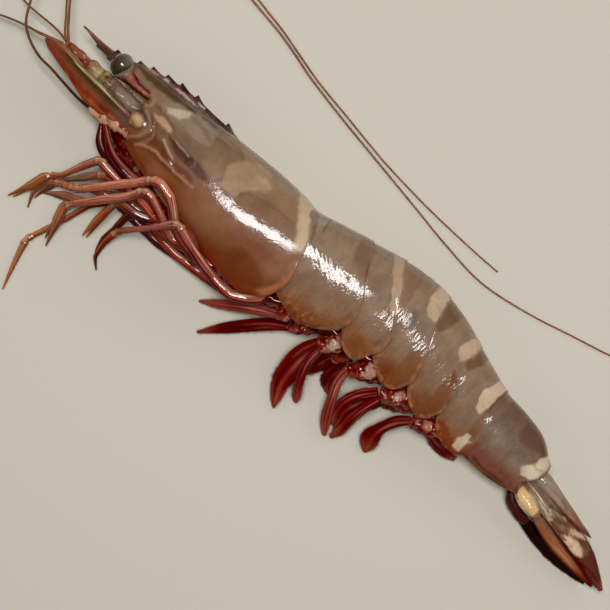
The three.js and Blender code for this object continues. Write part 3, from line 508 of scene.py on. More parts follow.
# %% One wet finish
def wet_finish(name, mottle, grain, roughness, coat, depth, swell, wrinkle, stretch=(1, 1, 1),
               under=0.2, veil=0.006, rim=1.0):
    """mottle and grain are how much large and fine spots change the colour. swell and wrinkle
    are the wide and the narrow unevenness of the surface, as (height, length) in mm. under is
    the mirroring of the skin below the film of water, veil the light that it all mirrors, and
    rim the share of the film's gloss that is left where a thin limb turns away."""
    material, tree, shader = principled(name)
    VEILS[name] = veil
    where = node(tree, "ShaderNodeTexCoord").outputs["Object"]
    colour = node(tree, "ShaderNodeAttribute", attribute_name="paint").outputs["Color"]
    clouds = noise(tree, where, 260, 3, 0.6)
    dots = noise(tree, where, 1300, 3)
    colour = scaled(tree, colour, ranged(tree, clouds, 0.3, 0.7, 1 - mottle, 1 + mottle))
    colour = scaled(tree, colour, ranged(tree, dots, 0.3, 0.7, 1 - grain, 1 + grain))
    tree.links.new(colour, shader.inputs["Base Color"])
    tree.links.new(ranged(tree, clouds, 0.3, 0.7, roughness * 0.8, roughness * 1.2),
                   shader.inputs["Roughness"])
    shader.inputs["IOR"].default_value = 1.42
    shader.inputs["Specular IOR Level"].default_value = under
    shader.inputs["Coat Weight"].default_value = coat
    facing = node(tree, "ShaderNodeLayerWeight").outputs["Facing"]
    dry = node(tree, "ShaderNodeAttribute", attribute_name="dry").outputs["Fac"]
    film = combined(tree, ranged(tree, facing, 0.4, 0.8, coat, coat * rim),
                    ranged(tree, dry, 0, 1, 1, 0), "MULTIPLY")
    tree.links.new(film, shader.inputs["Coat Weight"])
    shader.inputs["Coat Roughness"].default_value = 0.045
    shader.inputs["Subsurface Weight"].default_value = depth
    shader.inputs["Subsurface Radius"].default_value = (1.0, 0.45, 0.25)
    shader.inputs["Subsurface Scale"].default_value = 0.003
    wide = noise(tree, where, 1000 / swell[1], 2, 0.4)
    narrow = noise(tree, stretched(tree, where, stretch), 1000 / wrinkle[1], 3, 0.3)
    height = combined(tree, ranged(tree, wide, 0, 1, 0, swell[0]),
                      ranged(tree, narrow, 0, 1, 0, wrinkle[0]))
    ripples = node(tree, "ShaderNodeBump")
    ripples.inputs["Distance"].default_value = MM
    ripples.inputs["Strength"].default_value = 1.0
    tree.links.new(height, ripples.inputs["Height"])
    tree.links.new(ripples.outputs["Normal"], shader.inputs["Normal"])
    tree.links.new(ripples.outputs["Normal"], shader.inputs["Coat Normal"])
    return material


# %% The finishes of the prawn
chest_finish = wet_finish("wet_chest", 0.06, 0.06, 0.38, 0.9, 0.12, (0.06, 4), (0.04, 1.0))
shell_finish = wet_finish("wet_shell", 0.06, 0.06, 0.38, 0.9, 0.12, (0.10, 3), (0.13, 1.0),
                          (1.0, 0.3, 0.3))
limb_finish = wet_finish("wet_limb", 0.10, 0.08, 0.30, 0.9, 0.05, (0.04, 2.4), (0.012, 0.6),
                         under=0.0, veil=0.014, rim=0.15)
fin_finish = wet_finish("wet_fin", 0.12, 0.10, 0.32, 0.8, 0.03, (0.10, 1.4), (0.04, 0.5),
                        under=0.0, veil=0.012, rim=0.25)
flesh_finish = wet_finish("wet_flesh", 0.12, 0.10, 0.40, 0.35, 0.05, (0.04, 2.0), (0.01, 0.6),
                          under=0.0, veil=0.010, rim=0.3)
cord_finish = wet_finish("wet_feeler", 0.10, 0.10, 0.35, 0.5, 0.0, (0.02, 0.8), (0.01, 0.3),
                         under=0.1, veil=0.010)
eye_finish = wet_finish("wet_eye", 0.10, 0.10, 0.12, 1.0, 0.0, (0.01, 0.8), (0.005, 0.3))
print("finishes:", ", ".join(VEILS))

# %% [markdown]
# ## The shells of the trunk
#
# The carapace covers head and chest, and six ring-shaped shells cover the abdomen. Each shell
# goes from the back down both flanks to a free lower edge. Its rear rim lies over the next
# shell's front, like roof tiles. A shell is a stack of rings along the body, and the part of
# it that the shell in front covers runs on underneath, a little lower. One curved body cut into
# seven would be less work, but then the rims wouldn't throw their small shadows.

# %% Sizes and edges of the seven shells
EDGE_ANGLE = math.radians(150)
SHELLS = {
    "carapace": dict(
        rim=carapace_rim, side=0.88, hollow=3.0, lift=0.0, gap=0.0, rings=240,
        crest=curve("-57 0, -50 -1.2, -44 -1, -38 -0.5, -33 0.8, -28 2.3, -22 4, -16 5.4,"
         "-10 6.4"),
        lower="-90 -4.8, -80 -7.4, -65 -9.8, -50 -11.8, -38 -13.3, -19 -14",
    ),
    "abdomen_1": dict(
        rim=curve("2 15.2, 9.5 16.3, 15 14, 21 10, 28 5.5, 35.5 1"),
        lower="-11 -4.3, -5 -5.9, 0 -6.9, 5 -5.6, 10 -2.6, 15.5 2.2",
        crest=curve("-18 1.2, -8 2.2, 0 2.4, 8 1.2, 14 -0.6"),
    ),
    "abdomen_2": dict(
        rim=curve("2 29, 9 31.5, 15 29, 21 25, 30 20, 39 14.8"),
        lower="15.5 3.6, 19 -0.4, 23 -2, 27 -1.5, 29.5 1.6",
        crest=curve("8 -0.8, 14 -1.8, 20 -2.2, 31 -2.2"),
    ),
    "abdomen_3": dict(
        rim=curve("3 46.6, 8 47.5, 13 46, 20 43, 29.5 39, 41 36"),
        lower="29.5 5, 33 2.6, 37 0.2, 41 -0.6, 45 1, 47 4",
    ),
    "abdomen_4": dict(
        rim=curve("3 62, 8 63, 15 62, 22 59.7, 30 58, 37 58"),
        lower="47 6, 50 3, 53.5 0.8, 57 0, 60 0.9, 62.5 3.6",
    ),
    "abdomen_5": dict(
        rim=curve("0 79, 6 80, 13 79, 19 76.3, 25 75.5, 32 76.5"),
        lower="62.5 6, 65.5 2.4, 69 0.2, 74 -0.6, 79.5 0",
    ),
    "abdomen_6": dict(
        rim=curve("5 106, 10 102.8, 12.5 104.5, 17 107.3, 23 107.2"),
        lower="79.5 2, 90 2.3, 98 3.6, 106 6",
    ),
}
front = head_rim
for shell in SHELLS.values():
    shell["lower"] = curve(shell["lower"])
    for key, usual in dict(side=0.72, hollow=3.5, lift=0.5, gap=0.45, rings=100,
                            crest=np.zeros_like).items():
        shell.setdefault(key, usual)
    shell["front"] = front
    front = shell["rim"]
print("shells:", ", ".join(SHELLS))

# %% [markdown]
# The flank that the prawn lies on is pressed flat by its own weight. `pressed` keeps every point
# on or above the floor, with a soft turn where the flat spot begins. The lower edge of a shell
# turns back inside it, and its rear rim is rolled inward, so that both look thin and rounded.

# %% Points of a shell
TUCK = 2.2  # how far a shell's front runs on under the shell before it
ROUND = 100  # points from the back to the lower edge, on each side
INNER = 7  # points from the lower edge back to the middle, inside the shell


def pressed(z, soft=0.5):
    return 0.5 * (z + np.sqrt(z * z + soft * soft)) - 0.04


def trunk_rings(shell, tucked):
    along = np.linspace(0, 1, shell["rings"])
    if tucked:
        length = abs(float(shell["rim"](15)) - float(shell["front"](15)))
        extra = -np.array([1.0, 0.7, 0.45, 0.25, 0.1]) * TUCK / length
        along = np.concatenate([extra, along])
    turn = EDGE_ANGLE * np.linspace(0, 1, ROUND + 1) ** 1.15
    t, angle = np.meshgrid(along, turn, indexing="ij")
    h = (1 - np.cos(angle)) / (1 - math.cos(EDGE_ANGLE))
    lift = shell["lift"] * (np.maximum(t, 0) - 0.5) + np.minimum(t, 0) * 3
    x = mix(shell["front"](0 * t), shell["rim"](0 * t), t)
    for _ in range(8):
        y = mix(back_line(x) + lift, shell["lower"](x), h) + shell["crest"](x) * 4 * h * (1 - h)
        x = mix(shell["front"](y) + shell["gap"], shell["rim"](y), t)
    edge = (half_width(x) + lift) * np.sin(angle) ** shell["side"]
    hollow = mix(0.4, shell["hollow"], np.sin(math.pi * np.clip(along, 0, 1)))[:, None]
    q = np.linspace(0, 1, INNER + 1)[None, 1:]
    inner_y = y[:, -1:] + hollow * np.sin(q * math.pi / 2)
    inner_x = np.repeat(x[:, -1:], INNER, axis=1)
    inner_out = edge[:, -1:] * (1 - q)
    x = np.concatenate([x, inner_x], axis=1)
    y = np.concatenate([y, inner_y], axis=1)
    out = np.concatenate([edge, inner_out], axis=1)
    left = np.stack([x, y, middle(x) + out], axis=-1)
    right = np.stack([x, y, middle(x) - out], axis=-1)
    return np.concatenate([left, right[:, -2:0:-1]], axis=1)


second = trunk_rings(SHELLS["abdomen_2"], tucked=True)
print("rings and points of the second shell:", second.shape[:2])


# %% The way out of a surface, and rolled rims
def normals(rings):
    """The way out of the surface at each point."""
    along = np.gradient(rings, axis=0)
    around = np.roll(rings, -1, axis=1) - np.roll(rings, 1, axis=1)
    n = np.cross(along, around)
    n /= np.linalg.norm(n, axis=-1, keepdims=True) + 1e-9
    centre = rings.mean(axis=1, keepdims=True)
    outward = np.einsum("ijk,ijk->", n, rings - centre)
    return n if outward > 0 else -n


def closed_rim(rings, depth=0.25):
    """Rolls a rear rim inward, so that the edge of the shell is rounded and looks thin."""
    last = rings[-1]
    centre = last.mean(axis=0)
    inward = centre - last
    inward /= np.linalg.norm(inward, axis=-1, keepdims=True) + 1e-9
    ahead = rings[-1] - rings[-3]
    ahead /= np.linalg.norm(ahead, axis=-1, keepdims=True) + 1e-9
    turned = [last + ahead * depth * 0.35 + inward * depth * 0.25,
              last + ahead * depth * 0.35 + inward * depth * 0.7,
              last + ahead * depth * 0.1 + inward * depth * 1.1,
              last - ahead * depth * 1.2 + inward * depth * 1.5]
    return np.concatenate([rings, np.array(turned)], axis=0)


print("rings with a rolled rim:", len(closed_rim(second)))

# %% [markdown]
# ## Colours of the trunk
#
# Tiger prawns are olive brown on the back, with cream bands near the rims of the abdomen shells
# and dark stripes behind them. The lower flank turns to translucent orange brown, and its plates
# end in a paler rim over a dark red seam. Each flank colour goes by height, from the lower edge
# at 0 to the back at 1, and marks are laid over it, first the wide ones and then the fine ones.

# %% The base colour of the flanks
# [height, tint] on the flank of the carapace, of shells 1 to 5, and of the last shell
CHEST = [[0, (118, 46, 14)], [0.1, (112, 58, 26)], [0.22, (125, 74, 44)], [0.32, (135, 90, 64)],
    [0.42, (131, 89, 66)], [0.6, (126, 94, 70)], [0.72, (134, 104, 78)], [0.85, (146, 116, 90)],
    [1, (132, 106, 85)]]
BELLY = [[0, (124, 56, 28)], [0.08, (134, 74, 38)], [0.2, (136, 95, 69)], [0.32, (131, 99, 75)],
    [0.5, (130, 102, 80)], [0.65, (135, 109, 87)], [0.8, (142, 117, 94)], [1, (136, 111, 88)]]
LAST = [[0, (104, 55, 28)], [0.16, (118, 67, 48)], [0.3, (122, 89, 72)], [0.45, (118, 94, 77)],
    [0.6, (117, 95, 78)], [0.75, (119, 93, 75)], [1, (112, 84, 62)]]


def flank_colour(points, name):
    at = chart(points) + drift(points, 8)[..., :2] * 0.6 + drift(points, 2.4)[..., :2] * 0.4
    at = at + drift(points, 1.1)[..., :2] * 0.18
    x, y = at[..., 0], at[..., 1]
    low = np.interp(x, [-90, -60, -20, 0, 30, 60, 80, 107], [-5, -10, -14, -6, -1, 0, 1, 5])
    height = (y - low) / (back_line(x) - low)
    stops = CHEST if name == "carapace" else LAST if name == "abdomen_6" else BELLY
    colours = blend_by(height, stops)
    if name != "carapace":
        fibres = drift(points * [1, 0.22, 0.22], 0.9)
        colours = colours * (1 + 0.10 * fibres[..., :1])
        spots = drift(points, 1.0)
        low_edge = 1 - step(0.04, 0.24, height)
        dark, light = step(0.1, 0.6, spots[..., 0]), step(0.2, 0.7, spots[..., 1])
        colours = tinted(colours, (96, 30, 14), low_edge * dark * 0.6)
        colours = tinted(colours, (184, 130, 88), low_edge * light * 0.5)
    return colours, at


def freckled(colours, points, much=1.0):
    """Fine differences of tone and of hue, as pigment and the flesh below make them."""
    shade = drift(points, 6)[..., :1] * 0.07 + drift(points, 2.6)[..., 1:2] * 0.06
    shade = shade + drift(points, 1.1)[..., 2:] * 0.05
    hue = drift(points, 4)[..., :1] * np.array([0.02, 0.0, -0.04])
    hue = hue + drift(points, 1.6)[..., 1:2] * np.array([0.03, 0.0, -0.03])
    return colours * (1 + much * (shade + hue))


print("stops of the flank colours:", len(CHEST), len(BELLY), len(LAST))

# %% Marks on the head
CARAPACE_MARKS = [
    # the root of the crest, with the dark line under it
    [area, (106, 86, 72), 0.85, "-100 20.8, -92 21.6, -84 22.2, -76 22.6, -69 23.4, -62 25.2,"
     "-54 26.6, -50 30, -100 30", 0.8],
    [area, (88, 70, 57), 0.8, "-81 22.8, -70 23.2, -66 24.4, -70 26, -82 25.6", 0.8],
    [area, (92, 68, 42), 0.9, "-102 18.4, -94 18.2, -87.4 18.6, -84.6 20.6, -85 21.6, -94 20.9,"
     "-102 20.6", 0.7],
    [line, (66, 50, 38), 0.85, "-101 20.4, -92 20.8, -84 21.6, -76 22.4, -70 23", 0.7, 0.5],
    # olive grey behind the eye, with light clouds
    [area, (142, 123, 104), 0.85, "-86 19, -82 21, -76 21.8, -68 21.6, -66.5 17.6, -70 14.4,"
     "-79 14, -86 13.6, -90 14.6", 1.0],
    [area, (200, 180, 156), 0.85, "-87.6 15.2, -84 18.4, -80 20.8, -79.6 18.2, -81.6 15.4,"
     "-86 14.4"],
    [patch, (154, 132, 111), 0.6, -73.5, 16.4, 4.6, 1.8, 6, 0.6],
    [line, (120, 97, 78), 0.6, "-78.6 20.6, -73 19.2, -68 18.4", 1.4, 0.8],
    [line, (118, 98, 78), 0.6, "-80 14.6, -74 14, -69 14.6", 0.9],
    # a darker field, and below it a lighter one
    [area, (122, 97, 73), 0.9, "-67 22.6, -60 24, -54.5 23.6, -53.4 21.6, -56 19.6, -57.4 17,"
     "-58 15.4, -62 14.6, -67 15", 0.8],
    [patch, (134, 109, 85), 0.6, -61, 15.6, 3.6, 1.6, 0, 0.6],
    [patch, (142, 118, 94), 0.7, -59.6, 12, 5, 2, 0, 0.7],
    [area, (119, 96, 76), 0.7, "-79 12.4, -72 13, -65.6 12.6, -66 10, -72 9.6, -78 10.6", 0.8],
    # pink cream streak behind the front edge
    [area, (192, 152, 121), 0.85, "-89.6 10.4, -87 11.9, -82.4 12, -80 10.7, -83 9.6, -87 9.5"],
    [line, (96, 72, 54), 0.7, "-91 13.1, -86 12.9, -81 12.2, -78.6 10.8", 0.7, 0.5],
    [line, (150, 122, 95), 0.8, "-94.6 15.6, -93.2 14.6, -92.6 12, -93.6 10.6, -96.6 10.9", 1.0,
     0.5],
    [line, (84, 58, 42), 0.8, "-95.4 14.4, -94.4 13.6, -94.2 12.2, -95.4 11.6", 0.9, 0.5],
]
print("marks on the head:", len(CARAPACE_MARKS))

# %% Marks on the chest
CARAPACE_MARKS += [
    # the sandy field over the middle of the chest, and the brown one behind it
    [area, (161, 134, 104), 0.9, "-54.6 9.4, -54.4 12, -56.6 15.8, -56 18.4, -53.6 20.6, -52 22.4,"
     "-48 25, -43 25.4, -38.6 22.6, -40 19.4, -44 16.6, -46 13.6, -47 9.4", 0.7],
    [patch, (146, 120, 92), 0.6, -49, 18.2, 2.6, 3, 0, 0.7],
    [line, (176, 154, 126), 0.7, "-45 21.3, -42.5 22.4, -40 21.6", 1.2],
    [area, (130, 97, 73), 0.85, "-46.4 10, -44.6 13.6, -41 15.6, -35 16.8, -28 17.3, -23 17,"
     "-21.4 13.6, -23 10.6, -30 8.6, -40 8.6", 0.7],
    [line, (108, 82, 60), 0.6, "-46.2 12, -43.6 15, -38 16.8, -30 17.8, -24 18", 0.8, 0.5],
    [patch, (151, 121, 93), 0.6, -34, 24, 7, 2.6, 0, 0.7],
    # pale band along the rear rim
    [area, (194, 168, 137), 0.9, "-31 28.6, -28 25, -24.6 21, -21.6 17, -19.4 13, -17 11.2,"
     "-15 13.4, -16.2 17.4, -19.2 22, -22 25.6, -23.6 29", 0.9],
    [patch, (200, 174, 146), 0.7, -19.4, 19.4, 2.2, 4.2, 32, 0.7],
    [line, (148, 124, 100), 0.7, "-22.6 28.4, -19.6 23, -16.2 17.6, -14.6 13", 1.0, 0.5],
]
print("with the chest:", len(CARAPACE_MARKS))

# %% Marks on the cheek and the gill cover
CARAPACE_MARKS += [
    # olive brown wedge behind the feelers' bases, and the purple strip that follows it
    [area, (112, 86, 60), 0.85, "-94 9.9, -86 9.2, -80.6 8.6, -76 6, -72.6 3.2, -80 5.2, -84 6,"
     "-86 7, -92 7.4", 0.7],
    [area, (106, 52, 28), 0.9, "-86 5.6, -80 5, -72.6 3, -66 4.6, -62 4, -62 2, -72 1.6, -84 1",
     0.8],
    [area, (77, 43, 29), 0.9, "-79.6 8.6, -74 9.3, -66 9.4, -59 8.4, -57 7, -62 5.6, -70 5.4,"
     "-74.6 6.2", 0.8],
    [line, (58, 42, 34), 0.7, "-80 9.2, -76 8.5, -70.6 8.3", 0.7, 0.5],
    # painted highlights: a white glint beside the dark groove, and a pale streak along the ridge
    # below it
    [line, (196, 176, 156), 0.6, "-76 9.1, -72 8.9, -68.8 8.8", 0.5, 0.4],
    [line, (190, 164, 138), 0.7, "-80 6.4, -77 5, -73 3.4", 0.7, 0.45],
    [line, (70, 46, 36), 0.6, "-80 5.4, -76 3.6, -72.6 2.6", 0.7, 0.5],
    # pale line over the gill cover, with the orange brown field below it
    [area, (128, 70, 40), 0.8, "-87 -2.6, -82 -0.8, -66 -0.4, -57 -1, -55 -4, -60 -12, -92 -8",
     1.0],
    [patch, (146, 90, 64), 0.7, -73.5, -4.2, 5, 2.2, -4, 0.7],
    [line, (112, 44, 10), 0.7, "-89 -4.4, -84 -5.4, -78 -6.6", 2.4, 1.0],
    [line, (188, 138, 110), 0.75, "-86.4 -2.2, -84 -0.4, -80 0.6, -72 0.8, -64 1.2, -60.6 1.8",
     0.7, 0.45],
    [line, (96, 46, 26), 0.5, "-82 -0.4, -74 -0.2, -64 0.2", 0.9],
    [line, (66, 46, 34), 0.85, "-95 6.6, -93 8, -94.8 9.6, -95.4 10.8", 0.8, 0.5],
    [worn, (196, 168, 140), 0.7, "-94 4, -94.4 1.2, -92.4 -0.6", 0.8, 0.5],
    # rings round the corner at the feeler's root
    [patch, (184, 152, 112), 0.9, -92.2, 4.5, 2.5, 1.9, -10, 0.45],
    [patch, (206, 182, 146), 0.6, -92.6, 5.2, 1.4, 0.8, -10, 0.6],
    [line, (112, 76, 48), 0.7, "-94.4 3.4, -92.4 2.5, -90.2 3.2", 0.6, 0.5],
    [line, (66, 46, 30), 0.85, "-95.4 7.6, -92 7.9, -89.6 6.4, -89 4, -90.4 1.8, -93.6 1.2", 0.8,
     0.45],
    [line, (152, 124, 97), 0.8, "-92.4 9.2, -88.6 7.6, -86.8 4.8, -87.4 1.6, -89.6 -1.4,"
     "-91 -3.4", 1.0, 0.5],
    [line, (80, 54, 38), 0.7, "-89.4 8.9, -86.4 7, -85.4 4.2, -86 0.8, -88.2 -2", 0.7, 0.45],
    [line, (142, 106, 80), 0.7, "-87.4 8.7, -84.8 6.4, -84 3.6, -84.6 0.4, -86.6 -2.4", 0.8,
     0.45],
    [line, (88, 52, 34), 0.6, "-86 8.3, -83.6 5.6, -83 3, -83.4 0.6", 0.6, 0.45],
    # lower rear, darker and more orange toward the rim
    [patch, (142, 97, 70), 0.75, -50, -4, 9, 4.4, -6, 0.8],
    [patch, (117, 62, 37), 0.65, -29, 1.4, 8, 3.8, 4, 0.8],
    [area, (110, 54, 27), 0.8, "-32 -1.6, -24 -2, -18 -4.6, -15 -8, -19 -13, -34 -13.4, -36 -8",
     1.4],
    [patch, (141, 92, 67), 0.7, -17.4, 1.4, 4, 3.4, 30, 0.7],
    [patch, (148, 104, 76), 0.7, -13, 7.4, 1.8, 3.6, 10, 0.6],
    [line, (162, 100, 68), 0.85, "-11.6 5, -11.4 -1, -12.8 -5.4, -15.4 -9", 2.6, 1.0],
    [line, (130, 38, 6), 0.85, "-15.4 -9.6, -20 -12.6, -28 -13.2, -40 -12.8, -50 -11.4", 1.8,
     1.0],
]
print("with the cheek and the gill cover:", len(CARAPACE_MARKS))

# %% Marks on the first three shells of the abdomen
CREAM = (192, 163, 134)
ABDOMEN_MARKS = [
    # painted shadow of the carapace's rear rim on the first shell
    [line, (98, 82, 68), 0.7, "-22 28.8, -19.4 25.4, -16.6 21, -15 17.4", 1.0, 0.5],
    [patch, (154, 142, 126), 0.7, -17.6, 26.2, 2.2, 1.8, 30, 0.6],
    [line, (84, 66, 52), 0.75, "-16.4 29.8, -15.4 27.4, -15.2 25.2, -14.4 24", 0.5, 0.4],
    [area, (118, 92, 71), 0.8, "-2.6 35, 3.6 36, 5 31, 8.6 24, 6.4 21.6, 1 24, -1.6 29", 1.2],
    [line, (108, 50, 34), 0.8, "5.8 27.4, 7.6 24.6, 9.4 22", 0.7, 0.4],
    [patch, (152, 126, 102), 0.6, -11.4, 11, 2.4, 3.6, 0, 0.7],
    [patch, (141, 108, 82), 0.5, 4, 5, 4, 3.6, 0, 0.7],
    [area, (136, 86, 46), 0.7, "5 -4, 12 0, 15 4, 15.8 9, 13.4 7, 10 3, 6 0", 1.2],
    [line, (128, 62, 36), 0.7, "-9 -5.2, 0 -6.2, 5 -4.6, 9 -2.4", 2.0, 1.0],
    # second shell
    [area, (178, 150, 121), 0.93, "9 38.6, 13.4 40, 15.6 36.6, 18 33, 21 29.4, 25.6 23, 26.8 21,"
     "24.4 20.6, 21.6 23.6, 17 28.6, 13 33", 0.5],
    [area, (131, 100, 80), 0.85, "15 40.6, 22 41, 24.4 37, 25 32, 26.6 28.4, 25.8 25, 22 29.6,"
     "18.6 33.6, 16.4 37", 0.7],
    [area, (124, 96, 74), 0.5, "8 26, 14 27, 16 22, 12 20, 8 22", 1.4],
    [area, (136, 86, 46), 0.6, "15 -1, 20 -2, 27 -1, 29 3, 28.6 9, 24 8, 17 7, 15.6 4", 1.4],
    [patch, (118, 64, 24), 0.7, 23.8, 4, 2.6, 2.8, 0, 0.7],
    # third shell
    [area, CREAM, 0.93, "30.2 41, 35.4 41.2, 36.8 36, 38.8 30.4, 38.2 29, 35.4 29.2, 33 31.6,"
     "31 35", 0.5],
    [line, (166, 134, 104), 0.6, "31.6 34.2, 34.4 35.2, 37.6 34.4", 0.6, 0.4],
    [area, (110, 81, 57), 0.9, "36 41.6, 43 41.4, 44.6 37, 44 32, 42 27.6, 39.6 28.6, 39 32,"
     "37.6 36", 0.7],
    [patch, (113, 46, 11), 0.8, 40, 5.4, 4, 3.4, 0, 0.7],
    [patch, (114, 64, 32), 0.7, 56, 6.4, 3.6, 3.4, 0, 0.7],
    [patch, (104, 86, 70), 0.7, 31.4, 25.4, 1.8, 2.4, 20, 0.7],
    [patch, (148, 122, 103), 0.5, 35, 17, 4, 3, 0, 0.7],
    [area, (121, 73, 38), 0.85, "40.4 20, 44.6 18, 46.6 12, 46.8 6, 44 2, 40 2, 40.6 8, 40 14",
     0.9],
]
print("marks on three shells:", len(ABDOMEN_MARKS))

# %% Marks on the other three shells
ABDOMEN_MARKS += [
    # fourth shell
    [area, CREAM, 0.9, "53.6 38, 57.2 37, 58 32, 57 27.4, 55.4 25.6, 53.4 27, 52 30, 52.8 34"],
    [area, (110, 77, 51), 0.88, "57.4 37, 62.4 35.6, 62 30, 60.4 25.4, 58.4 25, 57.6 28, 58.6 32",
     0.7],
    [patch, (126, 98, 77), 0.5, 52, 18, 3, 4, 0, 0.7],
    [area, (120, 69, 35), 0.85, "56.4 22, 60.6 20, 62.4 14, 62.6 7, 60 1.6, 56.6 1.6, 57.4 8,"
     "56.6 14", 0.9],
    # fifth shell
    [area, (208, 180, 150), 0.92, "70 33.4, 75 32.4, 74.8 27, 75 22, 74.4 17.6, 71.6 18,"
     "70.4 21.6, 69.6 25, 70.6 29", 0.5],
    [area, (118, 86, 66), 0.85, "75.4 32, 78.6 31, 78.4 25, 77.4 20, 75.4 19.6"],
    [line, (68, 50, 38), 0.7, "75.6 31.4, 75.4 26, 75.8 21", 0.6, 0.4],
    [area, (124, 80, 53), 0.85, "75 16, 78.6 15, 79.6 9, 78.8 8.6, 75.4 9", 0.8],
    [area, (128, 58, 28), 0.85, "64.6 4.6, 67 1.6, 75 0, 79 0.4, 79 2.4, 75 3, 70 4.4, 66 6",
     0.7],
    [area, (206, 180, 152), 0.92, "75.6 1.4, 74.8 4.6, 75.8 8.4, 77.6 9, 78.6 6, 78.4 1.4"],
    # last shell
    [area, (101, 72, 57), 0.9, "89.6 27.6, 97 27, 101 25, 100.6 22.4, 97 20.6, 91.4 20.4,"
     "89.8 23.4", 0.8],
    [line, (94, 58, 42), 0.7, "80 29, 88 28.8, 96 26.6, 102 23.6", 1.4, 0.7],
    [area, (212, 192, 163), 0.9, "102.8 25, 105.6 23.6, 106.8 20, 106.6 16, 104.6 13, 101 12.4,"
     "99 13.8, 100.2 16.8, 102.4 18.4, 101.8 21.4"],
    [line, (160, 136, 114), 0.7, "102.4 18.6, 104.4 18, 106.6 18.8", 0.8],
    [patch, (136, 116, 100), 0.7, 84, 16, 5, 2.8, 0, 0.8],
    [patch, (132, 112, 98), 0.6, 97, 13.6, 3.4, 2.4, 0, 0.8],
    [area, (121, 70, 58), 0.8, "79.6 8.6, 88 7.6, 96 7, 103 7, 104 5, 96 3, 80 2.4", 1.0],
    [line, (66, 40, 24), 0.8, "84 4.2, 92 4.2, 99 5", 0.8, 0.5],
    [line, (132, 68, 36), 0.8, "80 3, 86 2.9, 94 3.3, 103 5.6", 0.8, 0.5],
    [line, (58, 24, 16), 0.85, "80 1.9, 88 2, 96 2.9, 104 4.9", 1.0],
]
print("with the other three:", len(ABDOMEN_MARKS))

# %% Seams and rims of the flank plates
ABDOMEN_MARKS += [
    # paler orange rims
    [worn, (168, 104, 62), 0.7, "10 -2, 14.8 3", 1.2, 0.7],
    [worn, (176, 108, 62), 0.75, "15.6 6, 17.4 0.8, 22 -1.6, 27.4 -1.2", 1.2, 0.7],
    [worn, (182, 120, 78), 0.8, "31.2 8, 32.2 4.6, 36.6 1.2, 41 0.2, 44.6 1.4", 1.2, 0.7],
    [worn, (186, 120, 78), 0.8, "47.4 9, 49.2 4.8, 53 1.8, 57.4 0.9, 60 1.8", 1.2, 0.7],
    [worn, (190, 124, 82), 0.8, "63.2 7, 65 4.2, 68.6 1.8", 1.2, 0.7],
]
LOWER_EDGES = [  # dark red seams under shells 1 to 4
    "0 -6.4, 6 -4.6, 10.6 -2.2, 15.4 3.2",
    "15.8 2.6, 19 -0.8, 23 -2.2, 27.4 -1.6, 29.8 2",
    "30 5, 33 2.2, 37 0, 41 -0.6, 45 1, 47.2 4.4",
    "47.4 6, 50 2.6, 53.5 0.6, 57 0, 60 0.7, 62.6 4",
]
OVERLAPS = [  # brown seams where one flank plate lies over the next
    "17.3 11.6, 17 8, 16.2 4",
    "31.2 13.4, 32.4 9.5, 31.2 5.4",
    "46.9 13, 48.4 8.6, 47.5 5",
    "62.8 13, 63.9 8.6, 63.1 5",
]
ABDOMEN_MARKS += [[worn, (104, 26, 12), 0.8, edge, 0.6, 0.4] for edge in LOWER_EDGES]
ABDOMEN_MARKS += [[worn, (98, 42, 22), 0.75, lap, 0.6, 0.4] for lap in OVERLAPS]
ABDOMEN_MARKS += [
    [worn, (156, 104, 72), 0.7, "15.2 18, 16.6 11, 15.8 5", 0.8, 0.5],
    [worn, (160, 112, 80), 0.7, "29 17, 31.6 11, 30.6 5", 0.8, 0.5],
    [worn, (164, 110, 76), 0.7, "46 15, 47.6 9, 46.8 5", 0.8, 0.5],
]
print("marks on the trunk:", len(CARAPACE_MARKS) + len(ABDOMEN_MARKS))

# %% [markdown]
# ## Low relief of the trunk
#
# The carapace has a sharp ridge at the root of the crest, and ridges and grooves behind the eye
# and over the gill cover. The abdomen has a shallow dent low on each flank, where each shell
# hinges on the next, and fine crinkles near some rims. All of it is less than a millimetre deep,
# so the points are moved in and out a little. A few spots have dried and mirror nothing.

# %% Where grooves, crinkles, dents and dry spots are
CARAPACE_RELIEF = [  # height, route, width
    [-0.50, "-80.4 9.4, -76 8.6, -69 8.3", 1.3],
    [-0.45, "-93.5 10, -86 8.8, -79 6.4, -72.6 3.4", 1.6],
    [0.45, "-92 8.4, -85 7.2, -79 5.2, -73 2.4", 1.6],
    [-0.45, "-101 19.9, -89.7 20.6, -72 22.2, -60 24", 1.5],
    [0.20, "-86 -2.2, -83 0.2, -78 0.7, -70 0.8, -66 1.1", 1.4],
    [0.12, "-84 -0.6, -78 0.7, -70 0.8, -61 1.7", 2.0],
    [-0.30, "-86 -3.8, -82 -1.2, -76 -0.8, -66 -0.8", 1.4],
    [0.50, "-91 -1, -87 1.2, -86 4.6, -88 8", 1.6],
    [-0.35, "-89.4 0.6, -88 3, -89 6.6", 1.2],
    [0.30, "-12.6 8, -11.4 1.6, -12.6 -4.4, -15.4 -9.4, -21 -12.4", 1.4],
    [-0.25, "-14.6 9, -13.2 1.4, -14.4 -4, -17 -8.6, -22 -11", 1.6],
    [0.40, "-94.6 15.6, -93 14.6, -92.4 12, -93.4 10.6, -96.6 10.9", 1.2],
    [-0.30, "-89.4 8.9, -86.4 7, -85.4 4.2, -86 0.8, -88.2 -2", 0.9],
    [-0.25, "-86 8.3, -83.6 5.6, -83 3, -83.4 0.6", 0.8],
    [0.30, "-94.6 3, -92.6 5.4, -90.4 4.6", 2.6],
    [-0.20, "-90 12.8, -82 12.4, -78.6 10.8", 0.9],
]
